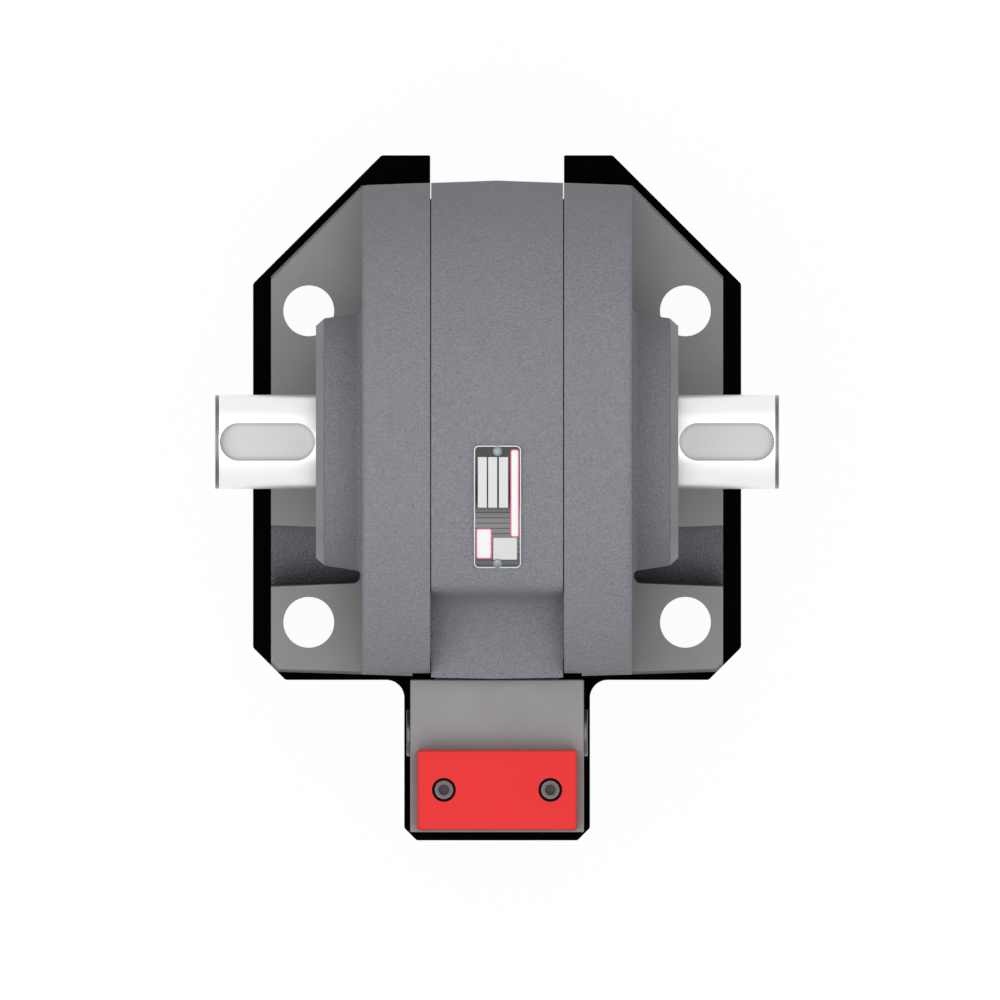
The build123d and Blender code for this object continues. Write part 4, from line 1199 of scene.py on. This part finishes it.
class ACTUATOR_OT_bearings(bpy.types.Operator):
    """Finish the roller bearings, their spacers and the retaining rings"""

    bl_idname = "actuator.bearings"
    bl_label = "Bearings"

    def execute(self, context):
        ground = (1, 0.1, 0.1)
        pale = srgb(222, 222, 224)
        race = plain_metal("Bearing steel", pale, rough=0.16, grain=0.3, streak=ground)
        brass = plain_metal("Cage brass", srgb(198, 158, 84), rough=0.3, grain=0.5)
        sprung = plain_metal("Sprung steel", srgb(92, 92, 96), rough=0.34, grain=0.6)
        for side in ("left_", "right_"):
            dressed(race, side + "bearing_outer_ring", side + "bearing_inner_ring")
            dressed(race, side + "bearing_rollers")
            dressed(brass, side + "bearing_cage")
            dressed(sprung, side + "bearing_spacer", side + "retaining_ring")
        return {"FINISHED"}


class ACTUATOR_OT_seals(bpy.types.Operator):
    """Finish the seals, seal rings and thrust washers"""

    bl_idname = "actuator.seals"
    bl_label = "Seals and washers"

    def execute(self, context):
        rubber = seal_rubber()
        turned = (1, 0.2, 0.2)
        bronze = plain_metal("Washer bronze", srgb(176, 132, 82), rough=0.32, streak=turned)
        for side in ("left_", "right_"):
            dressed(rubber, side + "head_o_ring", side + "pressure_seal", side + "shaft_seal")
            dressed(bronze, side + "thrust_washer")
        dressed(rubber, "vane_seal", "stator_shoe_seal", "side_plug_seals")
        dressed(rubber, "port_block_o_rings", "transit_cover_o_rings")
        return {"FINISHED"}


class ACTUATOR_OT_vane(bpy.types.Operator):
    """Finish the vane, the fixed shoe, and their screws and dowels"""

    bl_idname = "actuator.vane"
    bl_label = "Vane and shoe"

    def execute(self, context):
        pale, grey = srgb(150, 150, 154), srgb(120, 120, 122)
        forged = plain_metal("Forged steel", pale, rough=0.4, metallic=0.8, grain=0.7)
        iron = plain_metal("Bare cast iron", grey, rough=0.5, metallic=0.7, grain=0.9)
        pin = plain_metal("Dowel steel", srgb(206, 206, 210), rough=0.2, grain=0.3)
        dressed(forged, "vane")
        dressed(iron, "stator_shoe")
        dressed(pin, "vane_dowels", "head_dowels", "base_dowels")
        dressed(black_screws(), "vane_screws", "stator_shoe_screws")
        return {"FINISHED"}


STEPS = (
    ACTUATOR_OT_stage,
    ACTUATOR_OT_base_plate,
    ACTUATOR_OT_plate_screws,
    ACTUATOR_OT_end_heads,
    ACTUATOR_OT_head_screws,
    ACTUATOR_OT_chamber_ring,
    ACTUATOR_OT_output_shaft,
    ACTUATOR_OT_port_block,
    ACTUATOR_OT_port_block_screws,
    ACTUATOR_OT_side_plugs,
    ACTUATOR_OT_transit_cover,
    ACTUATOR_OT_cover_screws,
    ACTUATOR_OT_nameplate,
    ACTUATOR_OT_rivets,
    ACTUATOR_OT_bearings,
    ACTUATOR_OT_seals,
    ACTUATOR_OT_vane,
)


class ACTUATOR_PT_panel(bpy.types.Panel):
    """Sidebar panel with the pieces, sizes and colours of the actuator"""

    bl_idname = "ACTUATOR_PT_panel"
    bl_label = "Rotary actuator"
    bl_space_type = "VIEW_3D"
    bl_region_type = "UI"
    bl_category = "Actuator"

    def draw(self, context):
        for step in STEPS:
            self.layout.operator(step.bl_idname)
        for group in ("actuator_sizes", "actuator_colours", "actuator_finish"):
            holder = getattr(context.scene, group)
            box = self.layout.box()
            for name in type(holder).__annotations__:
                box.prop(holder, name)


GROUPS = {
    "actuator_sizes": ActuatorSizes,
    "actuator_colours": ActuatorColours,
    "actuator_finish": ActuatorFinish,
}
CLASSES = (*GROUPS.values(), *STEPS, ACTUATOR_PT_panel)


def register():
    """Register the classes and give the scene its settings."""
    for cls in CLASSES:
        bpy.utils.register_class(cls)
    for name, group in GROUPS.items():
        setattr(bpy.types.Scene, name, bpy.props.PointerProperty(type=group))


def unregister():
    """Take the settings and the classes away again."""
    for name in GROUPS:
        delattr(bpy.types.Scene, name)
    for cls in reversed(CLASSES):
        bpy.utils.unregister_class(cls)


def main():
    """Dress the whole actuator, piece by piece."""
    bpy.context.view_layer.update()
    register()
    for step in STEPS:
        group, name = step.bl_idname.split(".")
        getattr(getattr(bpy.ops, group), name)()


if __name__ == "__main__":
    main()
